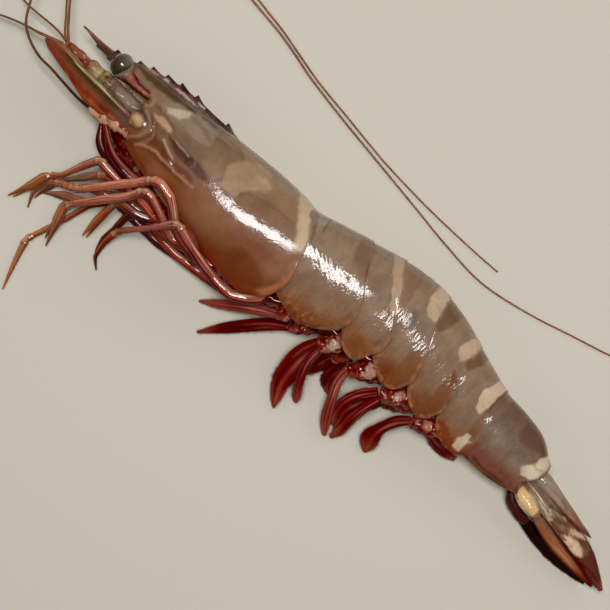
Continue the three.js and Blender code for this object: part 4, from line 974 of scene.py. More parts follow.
CRINKLES = [  # x, y, half length, half height, depth, spacing of the wrinkles, turn
    [-6, 16.5, 8, 3, 0.022, 1.5, -35], [12.5, 19, 3.4, 2.2, 0.05, 1.3, 55],
    [26, 20.5, 5, 3.4, 0.05, 1.25, 80], [38.4, 21.6, 4, 3.2, 0.07, 1.5, 80],
    [59.2, 20.4, 2.4, 2, 0.07, 1.0, 40], [77, 18, 2.2, 1.8, 0.07, 1.0, 30],
]
CHEST_DRY_SPOTS = [  # x, y, half length, half height, turn, how dry
    [-14.6, 12.6, 3.6, 4.2, 0, 0.95], [-18.6, 14.2, 2.6, 1.5, 20, 0.8],
    [-19.6, 9.6, 3, 1.0, 14, 0.8],
    [-81.4, 10, 1.8, 1.2, 0, 0.8], [-72.6, 2.6, 1.8, 1.2, 0, 0.8], [-13.4, 9, 1.4, 2, 0, 0.9],
    [-58.4, 8, 3, 2.2, 0, 0.7], [-86, 6, 1.6, 2, 0, 0.6],
]
DRY_SPOTS = [  # the same for the abdomen
    [18, 18.4, 4.2, 5.4, -10, 1], [-4, 21.6, 12, 2.6, 14, 0.9], [10, 23.4, 4, 2.4, 14, 0.8],
    [33.4, 22, 1.7, 4.4, 0, 0.9], [50, 20.4, 6.6, 5.4, 0, 0.85], [66.6, 19, 5.6, 5, 0, 0.8],
    [26, 26, 4, 2, 0, 0.9], [24, 14.6, 5, 1.8, 0, 0.9],
]
HINGE_DENTS = [[30, 8.6], [46.6, 9.4], [61.8, 8.4], [78.6, 8], [15.2, 7.8], [59.4, 20.8],
    [77, 17.6]]
print("relief lines:", len(CARAPACE_RELIEF), "dry spots:", len(CHEST_DRY_SPOTS + DRY_SPOTS))


# %% Heights and dryness of a point
def carapace_relief(points):
    at = chart(points) + drift(points, 6)[..., :2] * 0.35
    total = np.zeros(at.shape[:-1])
    for height, route, width in CARAPACE_RELIEF:
        total += height * line(at, route, width, width * 0.75)
    return total


def abdomen_relief(points):
    at = chart(points)
    total = np.zeros(at.shape[:-1])
    for x, y in HINGE_DENTS:
        total -= 0.4 * patch(at, x, y, 1.6, 1.2, 60, 0.9)
    bend = drift(points, 1.8)[..., 0] * 2.4
    for x, y, rx, ry, depth, spacing, turn in CRINKLES:
        a = math.radians(turn)
        over = (at[..., 0] - x) * math.sin(a) - (at[..., 1] - y) * math.cos(a)
        waves = np.sin(over * 2 * math.pi / spacing + bend)
        total += depth * waves * patch(at, x, y, rx, ry, 0, 0.8)
    return total


def dryness(points, spots):
    at = chart(points) + drift(points, 2.2)[..., :2] * 1.2
    share = np.zeros(at.shape[:-1])
    for *spot, much in spots:
        share = np.maximum(share, much * patch(at, *spot, 0.45))
    return share


def uneven(points, wide, ridges):
    fine = drift(points * [1, 0.35, 0.35], 1.3)[..., 2] * ridges
    return drift(points, 9)[..., 0] * wide + drift(points, 2.6)[..., 1] * 0.035 + fine


print("swell at the origin:", round(float(uneven(np.zeros(3), 0.12, 0.035)), 3), "mm")

# %% Make the seven shells
for name, shell in SHELLS.items():
    chest = name == "carapace"
    rings = trunk_rings(shell, tucked=not chest)
    relief = carapace_relief(rings) if chest else abdomen_relief(rings)
    relief = relief + (uneven(rings, 0.07, 0.006) if chest else uneven(rings, 0.12, 0.035))
    rings = closed_rim(rings + normals(rings) * relief[..., None])
    colours, at = flank_colour(rings, name)
    colours = paint(colours, at, CARAPACE_MARKS if chest else ABDOMEN_MARKS)
    colours = freckled(colours, rings)
    rings[..., 2] = pressed(rings[..., 2])
    skin(name + "_shell", rings, colours, chest_finish if chest else shell_finish,
         [name], dry=dryness(rings, CHEST_DRY_SPOTS if chest else DRY_SPOTS))
print("shells made:", len(SHELLS))

# %% [markdown]
# ## The rostrum
#
# The crest on the carapace runs out into a pointed beak with a saw of forward pointing teeth.
# It is a thin blade with a wider foot, so each of its sections has eight corners, and the teeth
# only raise the top one. The sections stand closer together near each tooth. Teeth that are
# stuck on would need joining, and a blade with raised points is one clean piece.

# %% Lines of the rostrum
crest_line = curve("-131 15.5, -116 16.6, -107 19.5, -102 21.4, -96 23.2, -90 24.8, -82 25.7,"
    "-72 26.1, -65 26.3, -58 25.8")
crest_foot = curve("-131 15.1, -116 15, -106 19.3, -90 21, -72 22.4, -58 24.6")
crest_keel = curve("-131 15.1, -124 14, -116.5 13.3, -111 13.4, -106 15.4, -95 15.9, -86 17.5,"
    "-58 23.5")
foot_half_width = curve("-131 0.4, -116 1.3, -107 1.8, -104 2.8, -95 5.4, -84 7, -58 4")
crest_half_width = curve("-131 0.3, -116 0.8, -100 1.2, -80 1.5, -58 2.2")
UPPER_TEETH = np.array([-115.9, -107, -102, -96.1, -90.2, -82.9, -67.5])
LOWER_TEETH = np.array([-122.5, -116.5, -110.5])
print("blade over the eye:", round(float(crest_line(-102) - crest_keel(-102)), 1), "mm high")

# %% Marks on the rostrum
ROSTRUM_MARKS = [
    [area, (90, 66, 40), 0.92, "-106.6 18.4, -106.4 19.8, -100 20.4, -90 21, -76 22.4, -76 19,"
     "-92 18, -100 18", 0.5],
    [area, (148, 122, 94), 0.92, "-107 14, -107 17.6, -100 17.9, -92 17.8, -80 18.6, -80 14"],
    [line, (170, 148, 118), 0.6, "-103 16, -99 16.5, -95 16.3", 0.9, 0.5],
    [line, (92, 66, 48), 0.7, "-106 15.2, -101 15, -95 15.3", 0.5, 0.4],
    [line, (72, 52, 42), 0.8, "-99 21.2, -88 22, -74 23.2, -60 24.8", 0.6, 0.45],
    [patch, (46, 20, 20), 0.95, -93.4, 24.7, 2.6, 0.9, 10],
    [patch, (46, 20, 20), 0.95, -87.6, 25.2, 2.4, 0.9, 6],
    [patch, (56, 28, 28), 0.9, -78.6, 25.6, 4, 0.8, 2],
    [patch, (62, 34, 34), 0.8, -69, 25.6, 4, 0.7, 2],
    [patch, (70, 42, 34), 0.7, -100, 22.6, 2.2, 0.8, 12],
    # painted highlights: white and pink glints on the crest between the teeth
    [line, (246, 234, 230), 0.95, "-95.8 22.5, -94.4 22.9", 0.8, 0.4],
    [line, (208, 166, 148), 0.75, "-90.4 23.2, -86 23.6, -82.6 24", 0.7, 0.4],
    [line, (240, 226, 220), 0.9, "-80.6 25, -77.8 25.2", 0.6, 0.4],
    [line, (176, 140, 126), 0.7, "-104 20.9, -99 21.6", 0.8, 0.5],
    [line, (62, 42, 36), 0.7, "-96 22.2, -93 23.6, -90 24", 0.7, 0.5],
    [line, (70, 46, 44), 0.6, "-84 24.4, -78 24.8, -70 25.2", 0.9],
    [line, (166, 130, 104), 0.5, "-128 15.3, -117 16.1", 0.6, 0.5],
    [line, (96, 62, 48), 0.6, "-127 14.9, -117 14.2, -110 14", 0.6, 0.5],
]
print("marks on the rostrum:", len(ROSTRUM_MARKS))


# %% Make the rostrum
def saw(tips, x, height, length=5.0):
    run = (x[:, None] - tips[None, :]) / length
    tooth = np.where(run >= -1e-6, np.maximum(0, 1 - run), 0)
    return height * tooth.max(axis=1) ** 1.3


def make_rostrum():
    tips = np.concatenate([UPPER_TEETH, LOWER_TEETH])
    x = np.concatenate([np.arange(-130.9, -58, 0.5), tips, tips - 0.35, tips + 0.15])
    x = np.unique(np.round(x, 3))
    top = crest_line(x) + saw(UPPER_TEETH, x, 1.5)
    keel = crest_keel(x) - saw(LOWER_TEETH, x, 0.8)
    foot, side, wide = crest_foot(x), crest_half_width(x), foot_half_width(x)
    corners = [
        (top, 0.12 * side), (mix(top, crest_line(x), 0.5), 0.45 * side),
        (mix(foot, crest_line(x), 0.62), 0.92 * side), (mix(foot, crest_line(x), 0.3), 1.0 * side),
        (foot + 0.15, mix(side, wide, 0.6)), (foot - 0.3, wide),
        (mix(foot, keel, 0.5), 0.85 * wide), (keel, 0.4 * wide),
    ]
    y, z = np.swapaxes(np.array(corners), 0, 1)
    fine = np.linspace(0, len(corners) - 1, 36)
    k = np.clip(fine.astype(int), 0, len(corners) - 2)
    y, z = [mix(line[k], line[k + 1], (fine - k)[:, None]) for line in (y, z)]
    left = np.stack([x + 0 * y, y, middle(x) + z], axis=-1)
    right = np.stack([x + 0 * y, y, middle(x) - z], axis=-1)
    rings = np.swapaxes(np.concatenate([left, right[::-1]]), 0, 1)
    at = chart(rings) + drift(rings, 4)[..., :2] * 0.3 + drift(rings, 1.1)[..., :2] * 0.25
    colours = blend_by(at[..., 0], [
        [-131, (98, 62, 44)], [-116, (76, 48, 34)], [-104, (122, 90, 74)], [-96, (116, 86, 74)],
        [-88, (104, 76, 66)], [-78, (92, 70, 58)], [-66, (102, 80, 62)], [-58, (124, 104, 80)],
    ])
    tooth = np.zeros(rings.shape[:-1])
    for tip in UPPER_TEETH:
        tooth = np.maximum(tooth, hill(rings[..., 0], tip + 0.4, 0.9))
    colours = paint(colours, at, ROSTRUM_MARKS)
    top_edge = step(0, 1.0, rings[..., 1] - crest_line(rings[..., 0]) + 0.4) * tooth
    colours = tinted(colours, (48, 28, 22), top_edge * 0.9)
    colours = freckled(colours, rings, 1.4)
    skin("rostrum_crest", rings, colours, shell_finish, ["carapace"], 40, 0.5)


make_rostrum()
print("teeth:", len(UPPER_TEETH), "above and", len(LOWER_TEETH), "below")

# %% [markdown]
# ## Tubes along a route
#
# Legs, feelers, stalks and the fleshy bases are all tubes of changing thickness along a bent
# route. `tube` puts oval rings along the route, each square to it, with its flat way up. A
# bevelled curve could do it too, but here a ring can be boxy, and it can have more of its points
# on its upper half, where the fine threads of colour need them.

# %% A route through stations
def run_of(stations):
    """How far along its route each station [x, y, z, half thickness] lies."""
    steps = np.linalg.norm(np.diff(points_of(stations)[:, :3], axis=0), axis=1)
    return np.concatenate([[0], np.cumsum(steps)])


def route_through(stations, count, ease=1.0):
    """A route of more stations, and the run s of each. With ease 0 it keeps its corners."""
    run = run_of(stations)
    s = np.linspace(0, run[-1], count)
    columns = [mix(np.interp(s, run, column), curve(np.stack([run, column], axis=1))(s), ease)
               for column in points_of(stations).T]
    return np.stack(columns, axis=1), s


route, s = route_through("0 0 0 1, 10 0 0 1, 10 10 0 1", 50)
print("a bent route of", s[-1], "mm")


# %% A tube along a route
def directions(centres):
    """Along a route, to its side, and up, as three arrows at each of its points."""
    along = np.gradient(centres, axis=0)
    along /= np.linalg.norm(along, axis=1, keepdims=True)
    up = np.array([0, 0, 1.0]) - along * along[:, 2:3]
    up /= np.linalg.norm(up, axis=1, keepdims=True) + 1e-9
    return along, np.cross(along, up), up


def tube(stations, around, flat=1.0, square=1.0, upper=0.5):
    """Oval rings, with each point's place across from -1 to 1, and the same upward. flat is
    height over width, a square below 1 makes the section boxier, and upper is the share of a
    ring's points that lie on its upper half."""
    centres, radius = stations[:, :3], stations[:, 3]
    along, side, up = directions(centres)
    half = int(round(around * upper))
    angle = np.concatenate([np.linspace(0, math.pi, half, endpoint=False),
                            np.linspace(math.pi, 2 * math.pi, around - half, endpoint=False)])
    across, high = [np.sign(wave) * np.abs(wave) ** square
                    for wave in (np.cos(angle), np.sin(angle))]
    rings = (centres[:, None] + side[:, None] * (radius[:, None] * across)[..., None]
             + up[:, None] * (radius[:, None] * high * flat)[..., None])
    shape = rings.shape[:2]
    return rings, np.broadcast_to(across, shape), np.broadcast_to(high, shape)


def swelled(rings, route, factor):
    """Moves each point of a tube outward by its own factor."""
    centres = route[:, None, :3]
    return centres + (rings - centres) * factor[..., None]


def mirrored(stations):
    """The same stations on the other side of the head."""
    stations = points_of(stations)
    stations[:, 2] = 2 * HEAD_PLANE - stations[:, 2]
    return stations


SIDES = {"left": points_of, "right": mirrored}
print("rings and points of a tube:", tube(route, 12)[0].shape[:2])


# %% [markdown]
# ## Eyes
#
# The eye is a ball with a paler cup behind it. It is painted grey on the side toward the light
# and nearly black on the side away from it, as painted light and shade. Its stalk is wrinkled,
# greyish pink with dark red edges. The ball is a stack of rings like all other skins, and its two
# ends lie along the head, where the stalk and the dark of the eye hide them.

# %% The eyes and their stalks
EYE = [-109.3, 14.7, 23.3]
EYE_RADII = np.array([4.15, 4.7, 4.2])
STALK = "-94 13.8 18.4 1.6, -101 13.2 20.6 1.7, -105.5 13.6 22.2 2.6, -108.5 14.2 23 3.4"


def make_eye(side, turn):
    centre = turn([EYE])[0]
    polar = np.linspace(0.06, math.pi - 0.06, 40)
    round_ = np.linspace(0, 2 * math.pi, 56, endpoint=False)
    a, b = np.meshgrid(polar, round_, indexing="ij")
    way = np.stack([np.cos(a), np.sin(a) * np.cos(b), np.sin(a) * np.sin(b)], axis=-1)
    rings = centre + way * EYE_RADII
    # painted light and shade: grey on the side toward the light, nearly black on the side away from
    # it
    low = way @ np.array([-0.42, -0.85, 0.2]) + drift(rings, 3)[..., 1] * 0.1
    colours = blend_by(low, [
        [-0.9, (124, 116, 100)], [-0.4, (98, 90, 74)], [0.0, (76, 68, 52)], [0.5, (62, 50, 38)],
        [1.0, (44, 34, 26)],
    ])
    cup = way @ np.array([0.93, -0.3, -0.2]) + drift(rings, 2.2)[..., 0] * 0.10
    colours = tinted(colours, (142, 128, 112), step(0.38, 0.50, cup) * 0.95)
    colours = tinted(colours, (36, 30, 22), hill(cup, 0.32, 0.09) * 0.8)
    skin(f"eyeball_{side}", rings, colours, eye_finish, [f"eye_{side}"])
    stations, s = route_through(turn(STALK), 60)
    rings, c, _ = tube(stations, 32)
    folds = 1 + 0.05 * np.sin(s * 2.6)[:, None] + 0.09 * drift(rings, 1.4)[..., 0]
    rings = swelled(rings, stations, folds)
    height = -c + 0.3 * drift(rings * [0.3, 1, 1], 1.2)[..., 1]
    colours = blend_by(height, [
        [-1.0, (104, 26, 16)], [-0.55, (128, 38, 26)], [-0.2, (150, 104, 88)],
        [0.3, (136, 84, 68)], [0.6, (94, 20, 14)], [1.0, (86, 40, 30)],
    ])
    tip = step(0.70, 0.95, s / s[-1])[:, None]
    colours = tinted(colours, (146, 126, 112), tip * 0.7)
    skin(f"eye_stalk_{side}", rings, colours, limb_finish, [f"eye_{side}"], dry=0.5)


for side, turn in SIDES.items():
    make_eye(side, turn)
print("eye across:", 2 * EYE_RADII[1], "mm")

# %% [markdown]
# ## Blades
#
# Scales, fan plates and the swimming legs are leaf-shaped blades: a spine that bends, a width
# that swells and tapers, and a thin section with a rib. `leaf` returns its rings together with
# u, the place across the blade from -1 to 1, and t, the place along it from 0 to 1. A flat card
# with a picture of a blade would be lighter, but it has no edge that catches the light.

# %% A leaf
ACROSS = 15  # points from edge to edge, on each face


def leaf(spine, across, thick, cup=0.0, rib=0.0, rib_at=0.0, count=60, ragged=0.0, seed=0):
    stations, s = route_through(spine, count)
    t = s / s[-1]
    centres, half = stations[:, :3], np.maximum(stations[:, 3], 0.12)
    along, _, _ = directions(centres)
    wide = np.array(across, float) - along * (along @ np.array(across, float))[:, None]
    wide /= np.linalg.norm(wide, axis=1, keepdims=True)
    up = np.cross(along, wide)
    up *= np.sign(up[:, 2:3] + 1e-9)
    q = np.linspace(0, math.pi, ACROSS)
    u_top = -np.cos(q)
    u = np.concatenate([u_top, u_top[-2:0:-1]])
    face = np.concatenate([np.ones(ACROSS), -np.ones(ACROSS - 2)])
    taper = np.minimum(1, half / 1.5)[:, None]
    if ragged:
        jag = drift(np.stack([t * 90, 0 * t + seed * 7.3, 0 * t], axis=1), 2.0)[:, 0]
        half = half * (1 + ragged * jag * step(0.25, 0.6, t))
    body = np.sqrt(np.maximum(0, 1 - u * u)) ** 0.8 * thick + 0.07
    ridge = rib * hill(u, rib_at, 0.2)
    rise = taper * (cup * (1 - u * u) + face * (body + np.maximum(ridge, 0)))
    rings = (centres[:, None] + wide[:, None] * (half[:, None] * u)[..., None]
             + up[:, None] * rise[..., None])
    shape = rings.shape[:-1]
    return rings, np.broadcast_to(u, shape), np.broadcast_to(t[:, None], shape)


def fringe_of(rings, length, count, lean):
    """Roots and tips of hairs along both edges of a leaf."""
    edges = [edge_hairs(rings[:, k], rings[:, ACROSS // 2], length, count, lean)
             for k in (0, ACROSS - 1)]
    return [np.concatenate(points) for points in zip(*edges)]


rings = leaf("0 0 0 1, 9 0 0 0", [0, 1, 0], 0.5)[0]
print("rings and points of a leaf:", rings.shape[:2])

# %% [markdown]
# ## The front of the head
#
# Each side has a long scale with a cream rib and an orange lower half, a stout jointed base
# of the small feelers above it, and the pink base of the long feeler below it. Soft flesh fills
# the socket between the eye's stalk and the small feelers. The scale is a leaf, and the others
# are tubes whose rings narrow at each joint, because one tube bends without a gap.

# %% Stations of the scale and the fleshy bases
SCALE_SPINE = (
    "-92.2 1.2 21.4 3.3, -97 0.7 22.7 3.9, -103 0.2 23.4 4.4, -111 0.2 23.8 4.5, -120 1 23.6 3.6,"
    "-128 1.7 23 2.9, -133 1.9 22.4 2.1, -136.2 2.2 22 0.9"
)
PEDUNCLE = (
    "-92.6 6.8 19.6 2.6, -96 6.6 20.2 3.2, -106 6.6 20.4 3.3, -111.5 6.8 20.2 3,"
    "-113 6.7 20.1 2.7, -118 6.4 19.8 2.6, -119.5 6.2 19.7 2.2, -126 6 19.4 2.1,"
    "-130.5 5.8 19.2 1.4"
)
SOCKET = "-92 10.6 17.4 1.6, -98 10.4 18 1.6, -104 9.8 18.6 1.5, -109.4 9.2 18.8 1.0"
FEELER_BASE = "-89.6 -0.6 19.6 2.2, -98 -2.4 20.2 2.6, -104 -4 20 2.1, -107.3 -4.8 19.6 1.1"
print("scale length:", run_of(SCALE_SPINE)[-1].round(1), "mm")

# %% Marks on the base of the small feelers
FEELER_BASE_MARKS = [
    [patch, (60, 42, 30), 0.85, -110.2, 7.8, 0.9, 0.8],
    [line, (76, 56, 38), 0.7, "-109.4 5.4, -108.2 7.4, -108.8 9.4", 0.6, 0.45],
    [line, (192, 168, 122), 0.7, "-113.6 8.6, -112.6 6.6, -113.4 5", 1.4],
    [line, (74, 54, 44), 0.7, "-106 9.4, -101 9.9, -96 9.6", 0.5, 0.45],
    [patch, (141, 120, 106), 0.75, -99.4, 7.6, 4.4, 1.9, 4],
    [line, (92, 78, 56), 0.8, "-104.6 9.4, -105.4 7.4, -104.2 5.4, -99 4.6", 0.8, 0.5],
    [patch, (112, 88, 62), 0.7, -106.8, 5.6, 1.4, 1.2, 0, 0.6],
    [patch, (196, 178, 138), 0.7, -111.4, 9.4, 1.2, 0.9, 0, 0.6],
    [worn, (206, 160, 132), 0.8, "-127.6 7.4, -123 7.9, -118.4 7.6", 0.7, 0.4],
    [worn, (112, 40, 28), 0.8, "-128.4 5.6, -123 5.2, -117 5.4", 0.7, 0.4],
]
print("marks on each base:", len(FEELER_BASE_MARKS))


# %% The scale
def make_scale(side, turn):
    lift = 1 if side == "left" else -1
    rings, u, t = leaf(turn(SCALE_SPINE), [0, 1, 0.35 * lift], 0.75, 0.25, 0.22, 0.8, 120)
    x = rings[..., 0]
    fibre = drift(rings * [0.12, 1, 1], 1.1)
    v = u + drift(rings, 6)[..., 0] * 0.08 + fibre[..., 0] * 0.09
    colours = blend_by(v, [
        [-1.0, (112, 40, 22)], [-0.85, (138, 62, 32)], [-0.55, (132, 56, 28)],
        [-0.25, (124, 50, 28)], [0.0, (116, 66, 44)], [0.25, (98, 62, 36)], [0.5, (78, 50, 20)],
        [0.68, (60, 40, 12)], [0.78, (90, 68, 32)], [0.85, (160, 136, 98)],
        [0.92, (128, 98, 70)], [1.0, (104, 68, 50)],
    ])
    cream = hill(v, 0.86, 0.05) * step(-130, -122, x) * (1 - step(-110, -102, x))
    colours = tinted(colours, (190, 170, 128), cream * 0.7)
    red = between((122, 54, 38), (150, 74, 56), np.clip(fibre[..., 1] + 0.4, 0, 1))
    colours = mix(colours, red, step(-122, -131, x)[..., None] * 0.75)
    root = step(-104, -95, x + drift(rings, 2)[..., 1])
    colours = tinted(colours, (104, 74, 62), root * 0.75)
    below = 1 - step(-0.2, 0.3, v)
    for tint, k in (((104, 16, 10), 0), ((164, 88, 44), 1)):
        streaks = drift(rings * [0.2, 1, 1], 0.9)[..., k]
        colours = tinted(colours, tint, step(0.15, 0.6, streaks) * below * 0.7)
    colours = freckled(colours * (1 + 0.25 * fibre[..., 2:3]), rings)
    node_name = f"antennal_scale_{side}"
    skin(f"scale_{side}", rings, colours, shell_finish, [node_name], dry=0.7)
    fringed = rings[74:-1]  # the front part of the scale, without its tip
    upper, lower = fringed[:, ACROSS - 1], fringed[:, ACROSS // 2]
    roots, tips = edge_hairs(upper, lower, 4.2, 160, lean=2.6, ragged=0.35)
    tips[:, 1] -= 0.5 + 0.09 * (-roots[:, 0] - 120)
    hairs(f"scale_fringe_{side}", roots, tips, 0.10, (150, 118, 90), fin_finish, "scale",
          [node_name])


print("sides of the head:", len(SIDES))


# %% The base of the small feelers
def make_small_base(side, turn):
    stations = route_through(turn(PEDUNCLE), 170)[0]
    rings, c, _ = tube(stations, 48)
    x = stations[:, 0][:, None]
    joint = hill(x, -112.3, 0.7) + hill(x, -119, 0.7) + 0.6 * hill(x, -106.6, 0.6)
    front = step(-114, -120, x)
    lobes = 1 - 0.13 * joint + 0.05 * np.sin((x + 100) * 1.1 + 2 * c)
    lobes = lobes + drift(rings, 1.5)[..., 0] * (0.05 + 0.07 * front)
    lobes = lobes + drift(rings, 3)[..., 1] * 0.05
    rings = swelled(rings, stations, lobes)
    at = rings[..., :2] + drift(rings, 3)[..., :2] * 0.6
    colours = blend_by(at[..., 0], [
        [-131, (140, 80, 56)], [-125, (138, 78, 60)], [-119, (146, 87, 68)],
        [-117.5, (152, 116, 84)], [-114, (170, 146, 104)], [-111.5, (158, 130, 92)],
        [-109.4, (122, 98, 70)], [-107, (128, 104, 82)], [-103, (122, 100, 84)],
        [-97, (116, 96, 83)], [-94, (120, 92, 74)],
    ])
    flow = drift(rings * [0.35, 1, 1], 0.9)
    bright, dark = step(0.25, 0.7, flow[..., 0]), step(0.3, 0.75, flow[..., 1])
    colours = tinted(colours, (190, 132, 106), bright * 0.6 * front)
    colours = tinted(colours, (92, 34, 24), dark * 0.7 * front)
    colours = tinted(colours, (162, 148, 134), bright * 0.35 * (1 - front))
    colours = tinted(colours, (84, 64, 48), dark * 0.45 * (1 - front))
    colours = paint(colours, at, FEELER_BASE_MARKS)
    colours = tinted(colours, (84, 50, 38), np.clip(joint, 0, 1) * 0.65)
    skin(f"small_feeler_base_{side}", rings, colours, limb_finish,
         [f"antennule_{side}"], dry=0.6)


print("run of that base:", run_of(PEDUNCLE)[-1].round(1), "mm")


# %% The base of the long feeler, and the eye's socket
def make_long_base(side, turn):
    stations, s = route_through(turn(FEELER_BASE), 90)
    rings, c, _ = tube(stations, 40)
    bulge = 0.13 * np.sin(s * 1.15 + 0.4)[:, None] + 0.05 * np.sin(3 * s)[:, None] * c
    bulge = bulge + 0.10 * drift(rings, 1.6)[..., 0] + 0.05 * drift(rings, 0.8)[..., 1]
    rings = swelled(rings, stations, 1 + bulge)
    spots = drift(rings, 1.5)
    colours = between((200, 144, 114), (154, 80, 54), step(-0.4, 0.6, c + spots[..., 2] * 0.5))
    colours = tinted(colours, (206, 158, 134), step(0.2, 0.6, spots[..., 0]) * 0.7)
    colours = tinted(colours, (96, 18, 12), step(0.3, 0.65, spots[..., 1]) * 0.8)
    skin(f"long_feeler_base_{side}", rings, colours, limb_finish,
         [f"antenna_base_{side}"])


def make_eye_socket(side, turn):
    """Soft flesh between the eye's stalk and the base of the small feelers."""
    rings = tube(route_through(turn(SOCKET), 70)[0], 28)[0]
    rings = rings + drift(rings, 1.6) * 0.25
    flow = drift(rings * [0.3, 1, 1], 0.9)
    colours = between((118, 98, 72), (166, 146, 112), step(-0.3, 0.6, flow[..., 0]))
    colours = tinted(colours, (108, 36, 26), step(0.35, 0.7, flow[..., 1]) * 0.7)
    skin(f"eye_socket_{side}", rings, colours, limb_finish, [f"antennule_{side}"])


# %% Make the front of the head
for side, turn in SIDES.items():
    make_scale(side, turn)
    make_small_base(side, turn)
    make_long_base(side, turn)
    make_eye_socket(side, turn)
print("pieces of the head's front:", 5 * len(SIDES))

# %% [markdown]
# ## Feelers
#
# The two long feelers bend back over the body in one wide curve, and each side of the head has
# two short whips. They are dark near the root and paler further out, with lighter stretches in
# between. A feeler has hundreds of tiny links, too fine to see, so a smooth thin tube is enough.

# %% Routes of the feelers
ANTENNA_ROUTES = {
    "antenna_left": "-108.2 -5 19.5, -114 -5.3 19, -120.8 -5 18, -128.6 -4.5 17, -134.5 -4.5 16,"
     "-141.6 -2.7 15, -147.5 0.8 14, -152.3 7.5 12.5, -158 18 10, -163 30 8, -164.5 44 6,"
     "-159 58 4.5, -147 67.5 3.2, -131 72.3 2.2, -113 72.6 1.3, -94.6 69.6 0.7, -80.3 67.9 0.6,"
     "-69.8 66 0.6, -56 63.6 0.6, -39 61.9 0.6, -18.6 59.9 0.6, -4 59.3 0.5, 11.6 59.2 0.5,"
     "31 59.9 0.5, 42.9 60.7 0.5",
    "antenna_right": "-108.6 -4.8 12.9, -113 -3.8 14, -118 -1.6 15.6, -124 1.8 16.2,"
     "-129 5.2 16.2, -131.5 7.6 16, -134.7 10.4 15.2, -138.6 14.5 14, -142 18.2 13, -149 27 11,"
     "-154.5 39 8.5, -153 52 6, -144 62.5 4, -129 68.4 2.5, -112 69.8 1.4, -96.3 67.9 0.7,"
     "-79.5 66.3 0.6, -69.5 64.6 0.6, -59.4 62.6 0.6, -39 60 0.6, -18.6 58 0.6, 2 56 0.5,"
     "21.9 54 0.5, 41.5 53.4 0.5, 61.8 57.6 0.5, 81.5 63.9 0.5, 95.7 68.5 0.5, 105 72.6 0.5",
}
WHIP_ROUTES = {
    "antennule_left_outer": "-131.2 6.6 19.6, -134.4 9.2 18.6, -138 13.1 17.4, -142 17.2 16,"
     "-147.5 24 13.6, -151 31 11",
    "antennule_left_inner": "-131.4 5.2 18.4, -136 3.6 18.2, -141 1.7 17.6, -148 -0.4 16.4,"
     "-156.1 -3.7 14.5, -163 -8 12",
    "antennule_right_outer": "-131.4 6.5 13, -137 7.2 12.4, -142.7 7 11.4, -150.4 6.3 10,"
     "-156 6.4 8.4, -163 8 6",
    "antennule_right_inner": "-131.2 5.1 12.8, -136 3.8 11.8, -142 1.7 10.4, -150 -0.6 9,"
     "-158.2 -3.9 7, -164 -7.6 5.4",
}


def whip(name, points, base, tip, count, start, end, fade=1.0):
    points = points_of(points)
    stations = np.concatenate([points, np.zeros((len(points), 1))], axis=1)
    route, s = route_through(stations, count)
    t = s / s[-1]
    route[:, 3] = mix(base, tip, t)
    route[:, 2] = np.maximum(route[:, 2], route[:, 3] + 0.1)
    rings = tube(route, 10)[0]
    share = np.clip(t / fade, 0, 1)[:, None]
    colours = between(start, end, share)
    stripe = (drift(rings, 5)[..., 0] * 0.5 + 0.5) * 0.35 * (0.3 + 0.7 * share)
    colours = tinted(colours, (160, 112, 72), stripe)
    skin(name + "_whip", rings, colours, cord_finish, [name])
    return s[-1]


for (name, points), root_tint in zip(ANTENNA_ROUTES.items(), ((56, 30, 24), (128, 82, 54))):
    long = whip(name, points, 0.55, 0.32, 420, root_tint, (122, 78, 48), fade=0.22)
for name, points in WHIP_ROUTES.items():
    whip(name, points, 0.5, 0.28, 70, (136, 84, 52), (84, 56, 38))
print("longest feeler:", round(long), "mm")

# %% [markdown]
# ## Walking legs
#
# A leg is a chain of stiff tubes with soft joints. Each row below is one leg from its root to
# its tip: the kind of station, which sets the thickness, and where it is. The joints are
# narrower, with paler skin between two swollen ends. Three front pairs end in a small claw.
# The pigment is uneven, so each leg has its own row of tones, from brick red to olive. One even
# red would look cooked. Pale and dark threads run along the leg. The widest pale one is a painted
# highlight, and the deeper red of the underside is painted shade.

# %% Stations and tones of the walking legs
# half of a leg's thickness in mm at each kind of station, for a leg of size 1
GIRTH = dict(root=2.7, coxa=2.5, ischium=2.1, merus=1.95, knee=1.75, carpus=1.75, shin=1.15,
    wrist=1.4, palm=1.95, hinge=1.5, finger=0.85, foot=0.8, tip=0.28)
